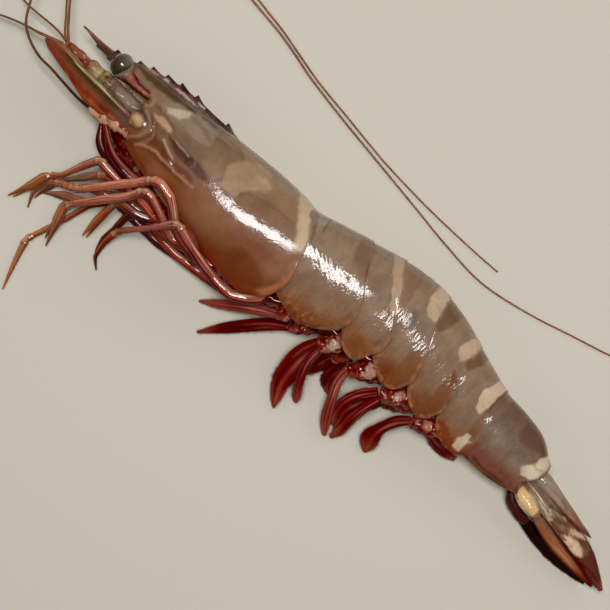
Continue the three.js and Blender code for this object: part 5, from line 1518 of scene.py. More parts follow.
# the tones that the pigment of a leg runs through
TONES = dict(wine=(70, 12, 6), garnet=(125, 38, 26), brick=(142, 62, 42), rose=(168, 84, 62),
    coral=(192, 100, 78), rust=(164, 82, 38), clay=(156, 94, 72), flesh=(182, 120, 94),
    salmon=(203, 136, 106), straw=(162, 116, 78), umber=(128, 90, 62), olive=(118, 104, 84))
LEGS = {
    "leg_left_4": dict(
        size=1,
        joints="root -33 -9.6 19.4, coxa -35.4 -14.4 20.4, ischium -42.7 -16.2 21,"
         "ischium -49.2 -15 23, merus -54.5 -12.6 26.3, merus -58 -9.6 29.4, merus -62 -7 31.4,"
         "merus -67.9 -6 31.4, knee -70.9 -7.2 30.2, carpus -76.3 -13.5 25, carpus -83.2 -21 17.5,"
         "wrist -90.2 -28.8 10, wrist -92.5 -30.3 8, wrist -98 -33 5, shin -102.8 -37.1 3.2,"
         "foot -103.1 -43.2 1.6, tip -100.8 -48.4 0.5",
        tones="brick clay salmon salmon umber"),
    "leg_left_3": dict(
        size=1,
        joints="root -43 -9 19.6, coxa -46 -15.4 19.4, ischium -52.4 -17.4 20.4,"
         "merus -59.9 -14.6 25, merus -67.5 -11.9 27.4, knee -70.7 -12.4 26.8,"
         "carpus -73.8 -17.5 22.5, carpus -81.7 -26.6 14.5, wrist -89.1 -35.4 7.5,"
         "palm -90.4 -38.4 5.8, palm -88.8 -43.5 4.2, finger -87 -49.2 2.6, tip -85.5 -53.8 1.6",
        finger="hinge -89.3 -41.6 4.6, finger -88.9 -46.8 3.2, tip -87.8 -51.8 1.6",
        tones="rose brick flesh flesh umber"),
    "leg_left_5": dict(
        size=1,
        joints="root -13.4 -7 18.6, root -14 -10.2 20.2, coxa -17.2 -13.6 21.8,"
         "ischium -22 -16.6 22.6, ischium -28.3 -17 23.4, merus -31.3 -16.6 23.8,"
         "merus -41.7 -15 26.6, merus -47.4 -13.5 29, knee -52.6 -12 30.2, carpus -54.6 -13.2 29,"
         "shin -61 -20.8 18.5, shin -68.4 -28.9 7.6, wrist -69.7 -31 5.6, shin -70.5 -37.1 2.8,"
         "foot -69.4 -43.3 1.4, tip -65.5 -46.9 0.5",
        tones="clay garnet rose rose wine"),
    "leg_left_2": dict(
        size=0.9,
        joints="root -52.6 -8.4 19.2, coxa -55.6 -15 18.6, ischium -62.4 -16.2 19,"
         "merus -71.2 -15.4 18.2, merus -81 -16.2 17.4, merus -88.6 -16 17.8,"
         "knee -91.2 -15.6 17.8, carpus -94.4 -20.8 14.5, shin -98.8 -29.8 9,"
         "wrist -102.2 -33.4 6.5, palm -103.9 -36 5.4, palm -105.4 -41.6 3.8,"
         "finger -107.5 -46.2 2.4, tip -109.3 -50.3 1.5",
        finger="hinge -104.8 -39.6 4, finger -106.2 -44.8 2.4, tip -107.5 -49.3 1.2",
        tones="coral coral clay clay straw"),
    "leg_left_1": dict(
        size=0.8,
        joints="root -60 -9 18.8, coxa -62.4 -17.6 15, merus -68.4 -20.6 16,"
         "merus -74.5 -21.4 15.4, knee -77 -23 12.4, carpus -77.5 -26.8 8.5, palm -77.8 -29.9 6.6,"
         "palm -78.1 -33.6 4.8, finger -78.5 -38.1 3, tip -78.4 -41.2 2",
        finger="hinge -77.6 -32.6 5, finger -77.2 -37.2 3, tip -76.9 -40.7 1.6",
        tones="garnet wine clay rust straw"),
    "leg_right_5": dict(
        size=0.95,
        joints="root -15.4 -7.4 12.8, coxa -18 -12.6 11.4, ischium -25.8 -17.4 9.4,"
         "ischium -33.8 -18.9 8, merus -47.8 -20.9 7, merus -63.7 -20.4 7.4, knee -69.1 -20.9 7.4,"
         "carpus -70.8 -23.9 6.6, shin -71.4 -31 3.4, shin -71.9 -36.1 1.8, foot -70.6 -41.2 1,"
         "tip -68.4 -44.8 0.5",
        tones="brick rose rose wine wine"),
    "leg_right_4": dict(
        size=0.95,
        joints="root -35 -9.4 12.8, coxa -38.6 -15.6 10.6, ischium -45.7 -20.4 4.6,"
         "merus -55.8 -22.6 3.2, merus -69.7 -22.9 3.4, knee -76.6 -23 4, carpus -80.2 -25 4.6,"
         "shin -84.4 -31.4 3.6, shin -87.6 -42.1 1.5, shin -91.8 -54.7 1.5, wrist -92.4 -57.2 1.6,"
         "shin -90.5 -63.8 1.4, foot -88.3 -69.9 1.2, tip -85.6 -77.1 0.5",
        tones="brick wine garnet straw straw"),
    "leg_right_3": dict(
        size=0.9,
        joints="root -45.4 -9 12.8, coxa -48.6 -16.2 11.6, ischium -55.3 -18.8 11.4,"
         "merus -64.8 -18.6 11.6, knee -74 -19.6 11.4, carpus -79.6 -23.8 9.6,"
         "wrist -85.9 -30.6 6.4, palm -89.7 -33.3 4.6, palm -93.8 -35.2 2.4,"
         "finger -98.6 -38.6 1.2, tip -101.6 -41 0.6",
        tones="rose rose wine flesh olive"),
    "leg_right_2": dict(
        size=0.85,
        joints="root -54.4 -8.4 12.8, coxa -57.3 -14.6 12.8, merus -65.1 -15.8 13.2,"
         "merus -76.7 -17.2 13.4, merus -84.6 -18.2 13.4, knee -87.6 -19 12.8,"
         "carpus -91.6 -23.6 9.4, shin -96.4 -29.3 5.6, wrist -98.8 -32 3.6,"
         "palm -100.6 -36.6 2.2, finger -101.4 -40.6 1, tip -101.6 -44 0.5",
        tones="rose flesh clay olive umber"),
    "leg_right_1": dict(
        size=0.75,
        joints="root -62.2 -8.4 12.8, coxa -64.2 -14.8 9.2, merus -69.2 -17.4 8.2,"
         "merus -74.1 -19.6 7.4, knee -79.5 -21.4 7, carpus -83.4 -24.2 7.6,"
         "wrist -86.4 -25.6 5.4, palm -89.4 -26.6 3.6, finger -93 -29.2 2, tip -95 -31.6 1",
        tones="rose wine wine salmon umber"),
}
SOFT_JOINTS = ("knee", "wrist", "hinge")


# %% Colours along a limb
FLESH = (184, 160, 118)  # the skin of a joint
# where across a limb, how wide and how strong
# the first pale thread, the widest, is a painted highlight along the limb
THREADS = [[0.44, 0.15, 1.0], [0.82, 0.06, 0.4], [0.04, 0.06, 0.5], [-0.30, 0.05, 0.4]]
DARK_THREADS = [[0.18, 0.07, 0.9], [0.69, 0.05, 0.65], [-0.14, 0.09, 0.9], [-0.46, 0.10, 0.9]]


def leg_stations(joints, size):
    """Stations of a leg from its rows "kind x y z", and the kind of each."""
    rows = [row.split() for row in joints.split(",")]
    kinds = [row[0] for row in rows]
    places = np.array([row[1:] for row in rows], float)
    half = np.array([GIRTH[kind] * size for kind in kinds])
    places[:, 2] = np.maximum(places[:, 2], half)
    return np.column_stack([places, half]), kinds


def limb_colours(tint, c, up, s, seed, shade=1.0, pale=1.0, warm=0.0):
    """Pale threads run lengthwise over a rich red, the widest of them a painted highlight.
    The underside is a deeper red, as painted shade.
    """
    flow = np.stack([c * 3.2, up * 3.2, s[:, None] * 0.16 + 0 * c], axis=-1) + seed * 3.7
    fibre = drift(flow, 1.0)
    v = c + 0.16 * fibre[..., 0]
    warm = np.asarray(warm)[..., None]
    pale_highlight = mix(linear((240, 206, 186)), linear((228, 158, 96)), warm)
    light = mix(tint, pale_highlight, 0.55 - 0.15 * warm)
    deep = tint * np.array([0.30, 0.05, 0.05]) + [0.016, 0.006, 0.005]
    colours = tint * [1.08, 0.86, 0.82] * (1 + 0.35 * fibre[..., 1:2])
    # painted shade: the underside of the limb is darkened to a deep red
    under = 1 - step(-0.72, -0.22, v)
    colours = mix(colours, deep, (under * 0.9 * shade)[..., None])
    come_and_go = 0.75 + 0.5 * fibre[..., 2]
    for threads, much, thread_tint in ((DARK_THREADS, 1.0, deep), (THREADS, pale, light)):
        for place, width, strength in threads:
            thread = hill(v, place, width) * strength * much * come_and_go
            colours = mix(colours, thread_tint, np.clip(thread, 0, 1)[..., None])
    rim = step(0.88, 1.0, c)
    return mix(colours, tint * np.array([0.5, 0.3, 0.28]), (rim * 0.8)[..., None])
print("threads along a limb:", len(THREADS), "pale and", len(DARK_THREADS), "dark")


# %% Make the walking legs
def make_leg(name, leg, seed):
    size = leg["size"]
    rough, kinds = leg_stations(leg["joints"], size)
    stations, s = route_through(rough, 200, ease=0.45)
    narrow, swollen, near = np.zeros((3, len(s)))
    for kind, place in zip(kinds, run_of(rough)):
        if kind in SOFT_JOINTS:
            away = np.abs(s - place)
            narrow = np.maximum(narrow, hill(away, 0, 0.5))
            swollen = np.maximum(swollen, hill(away, 1.5, 0.8))
            near = np.maximum(near, hill(away, 0, 1.5))
    lumps = drift(np.stack([s, 0 * s + seed * 5.1, 0 * s], axis=1), 2.2)[:, 0]
    stations[:, 3] *= 1 - 0.24 * narrow + 0.13 * swollen + 0.05 * lumps
    rings, c, up = tube(stations, 44, flat=0.88, square=0.85, upper=0.72)
    t = (s / s[-1])[:, None] + 0 * c
    where = t + drift(rings, 5)[..., 0] * 0.02
    tones = [TONES[tone] for tone in leg["tones"].split()]
    tint = blend_by(where, list(zip(np.linspace(0.06, 0.94, len(tones)), tones)))
    tint = tinted(tint, FLESH, near[:, None] * 0.7)
    # the painted highlight threads are weaker on the right legs, which lie lower, under the left
    # ones
    colours = limb_colours(tint, c, up, s, seed, shade=1 - 0.3 * step(0.4, 0.6, t),
                           pale=1.0 if "left" in name else 0.6, warm=step(0.5, 0.75, t))
    line_mask = np.maximum(0.35 * narrow, hill(near, 0.22, 0.10) * 0.8)
    colours = tinted(colours, (70, 26, 16), line_mask[:, None] * 0.6)
    rings[..., 2] = pressed(rings[..., 2], 0.2)
    skin(name + "_limb", rings, colours, limb_finish, [name])
    if "finger" in leg:
        stations, s = route_through(leg_stations(leg["finger"], size)[0], 40)
        rings, c, up = tube(stations, 18)
        tint = np.broadcast_to(linear(tones[-1]), rings.shape)
        colours = limb_colours(tint, c, up, s, seed + 0.5, warm=1.0)
        skin(name + "_claw", rings, colours, limb_finish, [name])


for seed, (name, leg) in enumerate(LEGS.items()):
    make_leg(name, leg, seed)
print("walking legs:", len(LEGS))

# %% [markdown]
# ## Mouthparts
#
# Under the head lie the dark bundle of jaws and, outside it, the third pair of maxillipeds:
# stout red limbs with a paler ridge that reach forward to the feeler bases. The jaws are many
# small plates in one dark mass, so one folded tube with streaks stands for all of them.

# %% Mouth bundle and maxillipeds
MOUTH = (
    "-98 -4 16.2 0.9, -94 -5 16.2 1.9, -87 -7 16.2 3, -79 -9 16.2 3.3, -71 -10.6 16.2 3,"
    "-66.5 -11.2 16.2 1.8"
)
MAXILLIPEDS = {
    "maxilliped_left": "-66.5 -12 20.6 2.2, -75.3 -12.4 21 2.4, -83.3 -12.3 21 2.4,"
     "-89.3 -11.3 20.5 2.1, -94.3 -8.9 20 1.8, -97.9 -6.4 19.5 1.3, -100.5 -4.6 19 0.6",
    "maxilliped_right": "-66.5 -12.6 11.8 2.2, -76.6 -13.1 11.5 2.4, -84.6 -13.3 11.5 2.3,"
     "-92.7 -12.7 11.5 2.1, -97.2 -10.9 12 1.7, -100.1 -7.5 12.5 1.2, -102 -5 13 0.6",
}


def make_mouth():
    stations, s = route_through(MOUTH, 120)
    rings, c, up = tube(stations, 48)
    turns = np.arctan2(up, c)
    folds = 0.08 * np.sin(s * 2.2)[:, None] * np.cos(3 * turns) + 0.07 * drift(rings, 2.4)[..., 0]
    rings = swelled(rings, stations, 1 + folds)
    blots = drift(rings, 2.2)
    strips = drift(rings * [0.25, 1, 1], 1.0)
    colours = between((64, 14, 12), (112, 44, 40), np.clip(strips[..., 0] + 0.3, 0, 1))
    colours = tinted(colours, (122, 98, 84), step(0.3, 0.7, blots[..., 1]) * 0.6)
    skin("mouth_bundle", rings, colours, flesh_finish, ["mouthparts"], dry=0.85)
    for seed, (name, spine) in enumerate(MAXILLIPEDS.items()):
        stations, s = route_through(spine, 120)
        rings, c, up = tube(stations, 44, flat=0.9, square=0.85, upper=0.72)
        tint = blend_by((s / s[-1])[:, None] + 0 * c, [
            [0.0, (156, 98, 78)], [0.25, (148, 84, 62)], [0.38, (78, 6, 4)], [0.8, (88, 10, 4)],
            [1.0, (118, 40, 22)],
        ])
        colours = limb_colours(tint, c, up, s, seed + 20, pale=0.35)
        ridge = hill(c, 0.62, 0.13) * (up > 0) * step(0.2, 0.4, s / s[-1])[:, None]
        colours = tinted(colours, (176, 112, 86), ridge * 0.65)
        skin(name + "_limb", rings, colours, limb_finish, [name], dry=0.75)


make_mouth()
print("maxillipeds:", len(MAXILLIPEDS))

# %% [markdown]
# ## Swimming legs
#
# Under each of the first five abdomen shells hangs a pair of swimming legs: a fleshy base with
# a pale patch, and one or two crimson blades with a ragged fringe and a lighter rib. One leg
# shows a third blade, thin as a web. A blade could be a flat card, but bent and unlike each
# other they look limp and wet. The pale streaks along a blade are partly its rib and partly a
# painted highlight, and how pale the blades are, in flesh and in painted highlight, differs
# from leg to leg.

# %% Stations of the swimming legs
SWIMMERETS = {
    "pleopod_left_1": dict(
        base="1 -1.6 20 2.2, -2 -7.2 19 2.4, -4.6 -9.6 17.4 1.8",
        blades=[("-4.4 -9.5 17.4 1.3, -10 -12.8 14 1.8, -18 -18.6 8.6 1.7, -25 -24 4 1.3,"
         "-29.6 -27.4 1.4 0.3", [-0.6, 0.8, 0.2])]),
    "pleopod_right_1": dict(
        base="9.4 0.4 11 2.8, 6.2 -5.6 9 3, 1.6 -10.2 7 2.1",
        blades=[("1.4 -10.2 7 1.4, -4 -14.4 5.4 2, -10 -21 3.6 2.1, -16.4 -29 2 1.6,"
         "-21.8 -36.4 1.2 0.3", [-0.8, 0.6, 0.1])]),
    "pleopod_left_2": dict(
        base="20.4 4 19.4 3, 17.6 -3 19.4 3.5, 14 -6.8 18 3.1",
        blades=[("14.4 -5.2 17.6 2.2, 12.8 -12.4 12.8 3.5, 12.8 -20 8.4 3.8, 14 -27 5 3.2,"
         "16.8 -32.4 2.6 2, 19.2 -36.2 1.4 0.3", [1, 0.15, 0.2]), ("15.6 -5.6 19 1.5,"
         "15.6 -13.6 15 1.5, 18.4 -21 10 1.5, 22 -26.6 5.8 1.5, 23.6 -28.6 4.2 0.5",
         [0.9, 0.4, 0.2])]),
    "pleopod_right_2": dict(
        base="25.4 4 9.4 2.8, 24 -2.2 7.4 3.2, 21.4 -6.4 5.2 2.6",
        blades=[("21.4 -6 5.2 2, 19.6 -10.6 3.8 2.6, 17.8 -15.6 2.4 2.3, 16.6 -20 1.4 0.4",
         [1, 0.3, 0.2])]),
    "pleopod_left_3": dict(
        base="37.4 4.6 18 3, 32.8 -2 18.2 3.4, 28.4 -5.2 17 2.8",
        blades=[("28 -5 16.8 1.4, 28.6 -11 13.8 1.5, 32.2 -18.4 9.6 1.6, 36.4 -25.4 5 1.8,"
         "40 -29.8 2.4 0.6", [1, 0.5, 0.2])]),
    "pleopod_right_3": dict(
        base="41 4.6 8.6 2.8, 36.4 -1.2 6.4 3, 28.4 -5.8 4.6 2.3",
        blades=[("28 -5.4 4.6 1.8, 26 -10 3.4 2.8, 26.8 -14.6 2.2 2.6, 30.2 -17.6 1.4 0.6",
         [1, -0.1, 0.2])]),
    "pleopod_left_4": dict(
        base="53.4 5 16 3, 47.8 -0.6 16.6 3.4, 43 -3.6 15.6 2.9",
        blades=[("41.8 -3.6 15.2 1.5, 38 -9 12.4 1.6, 36 -14.6 9.4 1.6, 36.6 -20 6.6 1.6,"
         "39.2 -24.8 4.4 0.5", [1, -0.3, 0.2]), ("44.2 -4.8 15.6 1.5, 42.8 -11 11.8 1.7,"
         "42.4 -18 7.6 1.8, 42.6 -24.6 3.8 1.8, 42.2 -28.8 2 0.5", [1, 0, 0.2]),
         ("43 -6.4 12.6 1.2, 40.2 -12 9.2 1.8, 39.2 -17 6.2 1.9, 39.8 -21.5 4.2 1.4,"
         "40.8 -25 3 0.5", [1, 0, 0.2])]),
    "pleopod_right_4": dict(
        base="57 4.6 8 2.8, 52.6 -0.8 5.8 3, 47 -5.4 4 2.1",
        blades=[("46.8 -5 3.8 1.4, 44 -8.6 2.8 2, 40.6 -12.6 2 2, 38.4 -16.4 1.4 0.4",
         [1, 0.3, 0.1])]),
    "pleopod_left_5": dict(
        base="70.4 4.6 14.4 2.9, 64.2 -0.2 14.4 3.2, 58.4 -2.6 13.4 2.6",
        blades=[("58.4 -2.4 13.4 1.5, 55 -6.6 11 1.9, 53 -12.4 7.6 1.9, 52.8 -17.6 4.6 3,"
         "54 -20.6 3 2.8, 55.4 -23.6 1.6 0.5", [1, 0.2, 0.2])]),
    "pleopod_right_5": dict(
        base="69.4 3.6 7.4 2.2, 67.6 -1.2 5.6 2.2",
        blades=[("67.4 -1.4 5.6 1.5, 72 -2 5 1.9, 77 -1.8 4.6 1.9, 81.4 -1.2 4.4 0.5",
         [0, 1, 0.5])]),
}


print("blades:", sum(len(leg["blades"]) for leg in SWIMMERETS.values()))

# %% Pale patches and blush
CREAM_SPOTS = {  # where each base has its pale patch, how large, and its tint
    "pleopod_left_1": [-11, -9, 18, 2.6, (190, 150, 134)],
    "pleopod_left_2": [17.8, -3.4, 21, 2.3, (186, 158, 132)],
    "pleopod_left_3": [34, -0.6, 20, 2.6, (184, 138, 118)],
    "pleopod_left_4": [48.4, 0, 18, 2.4, (180, 132, 114)],
    "pleopod_left_5": [63.6, 0.6, 16, 2.1, (170, 118, 96)],
}


BLUSH = {  # how pale each leg's blades are, in flesh and in painted highlight
    "pleopod_left_1": 1.0, "pleopod_left_2": 0.15, "pleopod_left_3": 1.0, "pleopod_left_4": 0.2,
    "pleopod_left_5": 0.05,
}
print("blush of the palest leg:", max(BLUSH.values()))


# %% The fleshy base of a swimming leg
def make_swimmeret_base(name, spine, seed):
    stations, s = route_through(spine, 70)
    rings, c, up = tube(stations, 40)
    turns = np.arctan2(up, c)
    lumps = 0.13 * drift(rings, 2.2)[..., 0] + 0.08 * drift(rings, 0.9)[..., 1]
    lumps = lumps + 0.07 * np.sin(s * 1.9 + seed)[:, None] * np.cos(2 * turns)
    rings = swelled(rings, stations, 0.97 + lumps)
    blots = drift(rings, 1.5)
    colours = between((92, 26, 22), (140, 56, 44), np.clip(blots[..., 0] + 0.35, 0, 1))
    colours = tinted(colours, (172, 112, 98), step(0.35, 0.7, blots[..., 1]) * 0.8)
    if name in CREAM_SPOTS:
        *spot, size, tint = CREAM_SPOTS[name]
        away = np.linalg.norm((rings - np.array(spot)) * [1, 0.8, 0.5], axis=-1) / size
        away = away + drift(rings, 1.8)[..., 2] * 0.45 + drift(rings, 0.8)[..., 0] * 0.2
        colours = tinted(colours, tint, (1 - step(0.7, 1.1, away)) * 0.9)
    rings[..., 2] = pressed(rings[..., 2], 0.2)
    skin(name + "_base", rings, colours, limb_finish, [name])


# %% Its blades
BLADE_SWELL = 1.16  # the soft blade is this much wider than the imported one's stations


def make_swimmeret_blades(name, blades, seed):
    blush = BLUSH.get(name, 0.02)
    for i, (spine, across) in enumerate(blades):
        spine = [[x, y, z, half * BLADE_SWELL] for x, y, z, half in points_of(spine)]
        rings, u, t = leaf(spine, across, 0.55, 0.35, 0.35, 0.15, 90, 0.05, seed * 3 + i)
        flow = np.stack([u * 3.4, t * 1.6, 0 * t + seed * 2.3 + i], axis=-1)
        fibre = drift(flow, 1.0)
        v = u + 0.25 * fibre[..., 1]
        colours = between((82, 7, 5), (126, 26, 20), step(-0.3, 1.0, fibre[..., 0]))
        colours = mix(colours, linear((174, 86, 72)), blush * 0.4)
        # the pale streaks are partly the blade's rib and partly a painted highlight, strongest in
        # its upper part
        upper = 1 - step(0.30, 0.62, t + 0.1 * fibre[..., 2])
        for place, width, much in ((0.2, 0.12, 1.0), (-0.5, 0.05, 0.5), (0.75, 0.05, 0.5)):
            pale = hill(v, place, width) * much * (0.15 + 0.85 * upper)
            pale = pale * (0.75 + 0.6 * fibre[..., 0]) * (0.3 + 0.7 * blush)
            colours = tinted(colours, (222, 144, 126), np.clip(pale, 0, 1))
        tip = step(0.66, 0.95, t + 0.1 * fibre[..., 2])
        colours = tinted(colours, (160, 76, 62), tip * 0.6)
        vein = hill(v, -0.22, 0.07) + hill(v, 0.56, 0.07)
        colours = tinted(colours, (54, 2, 2), vein * 0.7)
        rings[..., 2] += 0.12 * fibre[..., 0] * (1 - u * u)
        rings[..., 2] = pressed(rings[..., 2], 0.2)
        skin(f"{name}_blade_{i + 1}", rings, colours, fin_finish, [name], 60, 0.6)
        hairs(f"{name}_fringe_{i + 1}", *fringe_of(rings[12:-2], 1.3, 90, 1.1), 0.08,
              (66, 12, 10), fin_finish, "swimmeret", [name])


for seed, (name, leg) in enumerate(SWIMMERETS.items()):
    make_swimmeret_base(name, leg["base"], seed)
    make_swimmeret_blades(name, leg["blades"], seed)
print("swimming legs:", len(SWIMMERETS))

# %% [markdown]
# Between the lower edges of the abdomen shells, and as a strip under the chest, shows the crimson
# flesh of the belly, from which the legs grow. It fills the inside of each shell and comes a
# little below its edge. One piece for each shell keeps the flesh with the shell that it fills.

# %% Belly
BELLY_LINE = curve("-72 -9.4, -60 -10.8, -46 -12, -30 -12.6, -20 -12, -12 -8.6, 0 -5.4, 12 -1.4,"
    "22 0.6, 37 2.2, 54 2.8, 70 3, 82 4")
BELLIES = {"carapace": [-70, -13], "abdomen_1": [-11, 12], "abdomen_2": [12, 27.6], "abdomen_3":
    [27.6, 45], "abdomen_4": [45, 61], "abdomen_5": [61, 79]}


def make_belly(name, start, end):
    x = np.linspace(start - 0.6, end + 0.6, 2 * int(end - start) + 12)
    y = BELLY_LINE(x)
    stations = np.stack([x, y + 1.2, middle(x) - 1.5, 0 * x + 3.4], axis=1)
    rings = tube(stations, 40, flat=2.1)[0]
    folds = drift(rings * [1, 0.5, 0.5], 1.2)[..., 0] + drift(rings, 3)[..., 1]
    rings[..., 1] += folds * 0.5
    blots = drift(rings, 1.6)
    colours = between((76, 24, 22), (116, 32, 26), np.clip(blots[..., 0] + 0.3, 0, 1))
    colours = tinted(colours, (156, 84, 66), step(0.5, 0.8, blots[..., 1]) * 0.6)
    skin(name + "_belly", rings, colours, limb_finish, [name])


for name, span in BELLIES.items():
    make_belly(name, *span)
print("belly pieces:", len(BELLIES))

# %% [markdown]
# ## The tail
#
# The tail fan is folded: the pointed telson on top, then an inner and an outer plate on each
# side, which share a rounded cream base with a brown end. The plates are dark maroon, the upper
# outer one has an orange band with a painted highlight along it, and the upper inner one has pale
# streaks and a dark crimson rim. The two lower plates and the base under them are darkened to
# near black as painted shade.
# They are leaves like the scale, and the marks of the inner one are painted on the same chart as
# the flank, because it lies flat in the same view.

# %% Stations of the telson and the fan
TELSON = (
    "106.5 16.6 10 3.4, 110 16.5 10.1 3.5, 116 15.9 10 2.9, 123 15.2 9.8 2.2, 130 14.5 9.5 1.5,"
    "134.5 14.2 9.3 0.9, 137.5 14.1 9.1 0.25"
)
FAN_BASES = {
    "uropod_base_left": "104.6 8.4 11.6 1.8, 107 7.4 12.6 2.9, 111.5 6.4 13 3.3,"
     "115.4 5.8 12.8 2.4, 117.2 5.6 12.5 1.2",
    "uropod_base_right": "104.6 5.4 6.2 1.8, 107 3.4 5.4 2.5, 111 2 4.8 2.6, 114.6 1.2 4.4 2.2,"
     "117.2 0.9 4.2 1.5",
}
FAN_PLATES = {
    "uropod_inner_left": dict(
        spine="104.8 12 11.4 1.8, 111 11.4 12.8 2.4, 118 10.2 13.2 3.3, 126 9.3 12.6 3.8,"
         "134 8.8 11.8 4.2, 142 7 10.8 3.6, 149 4.6 9.8 2.2, 154.2 2.8 9 0.8",
        across=[0.25, 1, -0.2],
        thick=0.6, cup=0.5),
    "uropod_outer_left": dict(
        spine="116.2 5 12.2 1.7, 124 3.9 11.3 2.8, 131 3.2 10.2 3.2, 139 2.6 9 2.6, 146 2 8.1 1.6,"
         "151 1.4 7.5 0.6",
        across=[0, 1, 0.3], thick=0.5),
    "uropod_inner_right": dict(
        spine="112.5 9.2 6.6 1.6, 118 8.6 6.3 3, 126 7.8 5.8 3.8, 134 7 5.2 4, 142 5.4 4.5 3.2,"
         "149.5 3.2 3.7 1.2",
        across=[0.1, 1, 0.15], thick=0.5),
    "uropod_outer_right": dict(
        spine="115.8 0.8 4 1.9, 124 0.3 3.5 3, 131 0.2 3 3.3, 139 0.3 2.5 2.8, 145 0.3 2.2 1.8,"
         "149.5 0.4 2 0.7",
        across=[0, 1, 0.1], thick=0.5),
}
print("longest plate:", max(run_of(plate["spine"])[-1] for plate in FAN_PLATES.values()), "mm")

# %% Marks on the upper inner plate
TAIL_MARKS = [
    [area, (140, 120, 96), 0.7, "104 14, 117 13.6, 122 11, 120 7, 110 7", 1.4],
    [area, (93, 45, 38), 0.92, "137 13, 139.6 9, 138.4 5.4, 141 2, 158 2, 158 10, 146 12", 1.2],
    [patch, (134, 62, 48), 0.8, 152.4, 3.2, 2.6, 1.5, -20, 0.7],
    [area, (104, 66, 48), 0.7, "124 11, 131 12.8, 138 13, 139 8.6, 134 9.4, 127 8", 1.0],
    [area, (206, 172, 142), 0.9, "126.6 9.8, 129.4 11.6, 133 12.8, 135.6 12.6, 135 11.4,"
     "131.6 10.4, 128.8 9"],
    [area, (216, 182, 152), 0.92, "127.4 7, 130 8.6, 134 9, 137.4 7.8, 138.4 6.2, 136.4 5.4,"
     "130 5.6", 0.5],
    [worn, (150, 116, 80), 0.7, "128.6 6.6, 133 7.4, 137 6.8", 0.6, 0.4],
    [line, (64, 40, 30), 0.8, "117.6 9.6, 120.4 9.2, 124.4 9.6", 0.9, 0.5],
    [line, (80, 40, 30), 0.7, "122 7.4, 126 7, 129 8.4", 0.8, 0.5],
    [line, (78, 24, 18), 0.85, "124 5.8, 129 4.9, 135 4.5, 142 4.6", 1.1, 0.5],
    [line, (78, 20, 16), 0.92, "117 11.6, 122 12.3, 128 12.6, 134 12.9, 140 11.8", 0.7, 0.4],
    [worn, (84, 26, 20), 0.9, "127 5, 132 4.8, 138 5, 144 5.2, 149 4.2", 0.8, 0.4],
    [worn, (92, 70, 40), 0.9, "114 9.4, 119 8.9, 125 9.2, 131 9.4", 0.7, 0.4],
    [worn, (96, 56, 40), 0.85, "119 7.6, 126 6.8, 133 6.2", 0.8, 0.4],
    [worn, (112, 72, 50), 0.8, "122 10.6, 128 10.2, 134 11.2", 0.6, 0.4],
    [worn, (176, 146, 116), 0.7, "118 11, 124 11.6, 130 11.9", 0.5, 0.4],
    [line, (92, 28, 20), 0.8, "127 6.2, 132 4.9, 138.4 5.2, 139.4 7.6", 0.6, 0.4],
    [worn, (92, 36, 28), 0.85, "128.6 9.2, 131.6 10, 136 10.6, 139 9", 0.6, 0.4],
    # cream streaks between the telson and the plate, their own pale colour with painted glints on
    # them
    [line, (206, 190, 154), 0.7, "113 9.8, 117.4 9, 120.4 7.6", 0.7, 0.45],
    [line, (220, 204, 176), 0.7, "118 10.2, 121 8.4", 0.5, 0.4],
    [line, (92, 70, 50), 0.6, "106 12.6, 112 12.4, 118 11.6", 0.6, 0.45],
]
print("marks on the plate:", len(TAIL_MARKS))


# %% The telson
def make_telson():
    rings, c, _ = tube(route_through(TELSON, 120)[0], 40, flat=0.9)
    flow = drift(rings * [0.2, 1, 1], 1.1)
    colours = blend_by(rings[..., 0] + drift(rings, 4)[..., 0] * 2, [
        [106, (126, 106, 88)], [112, (148, 126, 106)], [119, (144, 120, 98)],
        [125, (138, 104, 84)], [130, (140, 86, 66)], [137, (112, 46, 34)],
    ])
    colours = tinted(colours, (176, 152, 132), step(0.2, 0.7, flow[..., 0]) * 0.5)
    colours = tinted(colours, (92, 66, 52), step(0.2, 0.7, flow[..., 1]) * 0.5)
    low = step(0.5, 0.85, c + 0.15 * flow[..., 2]) * step(113, 118, rings[..., 0])
    colours = tinted(colours, (98, 38, 28), low * 0.8)
    top = step(0.6, 0.95, -c) * step(118, 128, rings[..., 0])
    colours = tinted(colours, (120, 56, 42), top * 0.6)
    skin("telson_spike", rings, colours, shell_finish, ["telson"])


make_telson()
print("telson length:", run_of(TELSON)[-1].round(1), "mm")


# %% The shared base of two fan plates
def make_lobe(name, spine):
    stations = route_through(spine, 70)[0]
    rings, c, _ = tube(stations, 40)
    lumps = 1 + 0.05 * drift(rings, 2)[..., 0] + 0.03 * drift(rings, 0.9)[..., 1]
    rings = swelled(rings, stations, lumps)
    left = name.endswith("left")
    # painted shade: the lower lobe is near black, as it lies under the upper one
    tint, shade = ((220, 182, 130), (138, 100, 60)) if left else ((72, 30, 24), (40, 14, 10))
    # painted shade: each lobe darkens toward its edges
    edge = step(0.55, 0.95, np.abs(c) + 0.3 * drift(rings, 2)[..., 0])
    colours = between(tint, shade, edge * 0.8)
    if left:
        grey = step(0.1, 0.5, drift(rings, 1.6)[..., 1])
        colours = tinted(colours, (190, 172, 146), grey * 0.6)
        end = step(115, 115.8, rings[..., 0] + 0.06 * (rings[..., 1] - 6) ** 2)
        colours = tinted(colours, (136, 92, 64), end * 0.9)
    skin(name + "_lobe", rings, colours, shell_finish, [name],
         dry=0.2 if left else 0.85)


for name, spine in FAN_BASES.items():
    make_lobe(name, spine)
print("fan bases:", len(FAN_BASES))


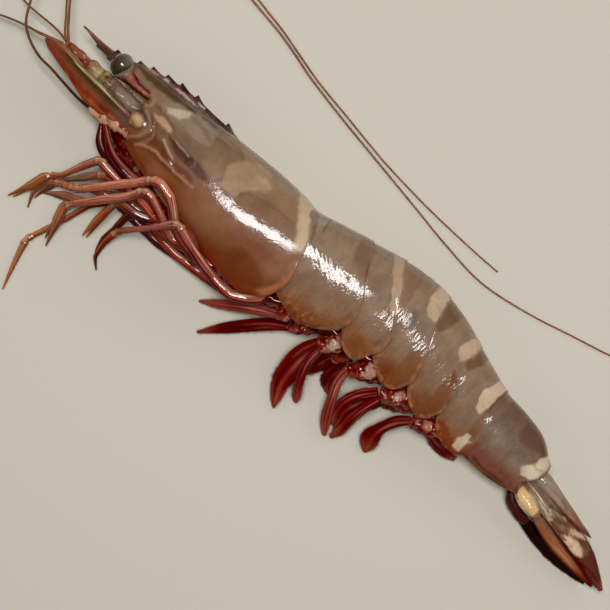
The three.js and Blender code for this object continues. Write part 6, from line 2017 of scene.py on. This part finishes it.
# %% A fan plate
def make_plate(name, plate):
    rings, u, t = leaf(count=120, rib=0.25, rib_at=0.0, ragged=0.04, seed=7, **plate)
    at = chart(rings) + drift(rings, 5)[..., :2] * 0.5 + drift(rings, 1.4)[..., :2] * 0.35
    flow = drift(np.stack([u * 4, t * 2.2, 0 * t], axis=-1), 1.0)
    streak = np.clip(flow[..., 0] + 0.3, 0, 1)
    if name == "uropod_outer_left":
        base = blend_by(t + 0.05 * flow[..., 1], [
            [0, (132, 90, 64)], [0.2, (146, 92, 62)], [0.4, (166, 102, 70)],
            [0.68, (168, 98, 68)], [0.85, (136, 56, 36)], [1, (88, 26, 18)],
        ])
        base = mix(base, base * np.array([0.6, 0.45, 0.4]), streak[..., None] * 0.6)
        # painted highlight: a pale streak along the lower part of the orange band
        pale_highlight = hill(u, -0.25, 0.15) * step(0.3, 0.5, t) * (1 - step(0.6, 0.8, t))
        base = tinted(base, (216, 168, 132), pale_highlight * 0.5)
        base = tinted(base, (50, 12, 10), (1 - step(-0.9, -0.55, u)) * 0.9)
        top = step(0.28, 0.42, u + 0.08 * flow[..., 2])
        upper = between((122, 92, 72), (92, 30, 22), step(0.3, 0.5, t))
        base = mix(base, upper, (top * 0.9)[..., None])
    elif name == "uropod_inner_left":
        base = between((108, 82, 62), (152, 124, 98), streak)
        base = paint(base, at, TAIL_MARKS)
        rim = step(0.80, 0.97, np.abs(u + 0.04 * flow[..., 1])) * step(0.22, 0.34, t)
        base = tinted(base, (66, 16, 12), rim * 0.9)
        base = base * (1 + 0.15 * flow[..., 2:3])
    else:
        # painted shade: the two lower plates lie under the upper ones and are darkened to near
        # black
        base = between((38, 18, 16), (58, 22, 18), streak)
    rings[..., 2] += 0.10 * flow[..., 0] * (1 - u * u)
    rings[..., 2] = pressed(rings[..., 2], 0.2)
    skin(name + "_plate", rings, base, fin_finish, [name], crease=60)
    hairs(name + "_fringe", *fringe_of(rings[50:-1], 0.8, 120, 1.5), 0.07, (70, 30, 24),
          fin_finish, "fin", [name])


for name, plate in FAN_PLATES.items():
    make_plate(name, plate)
print("fan plates:", len(FAN_PLATES))
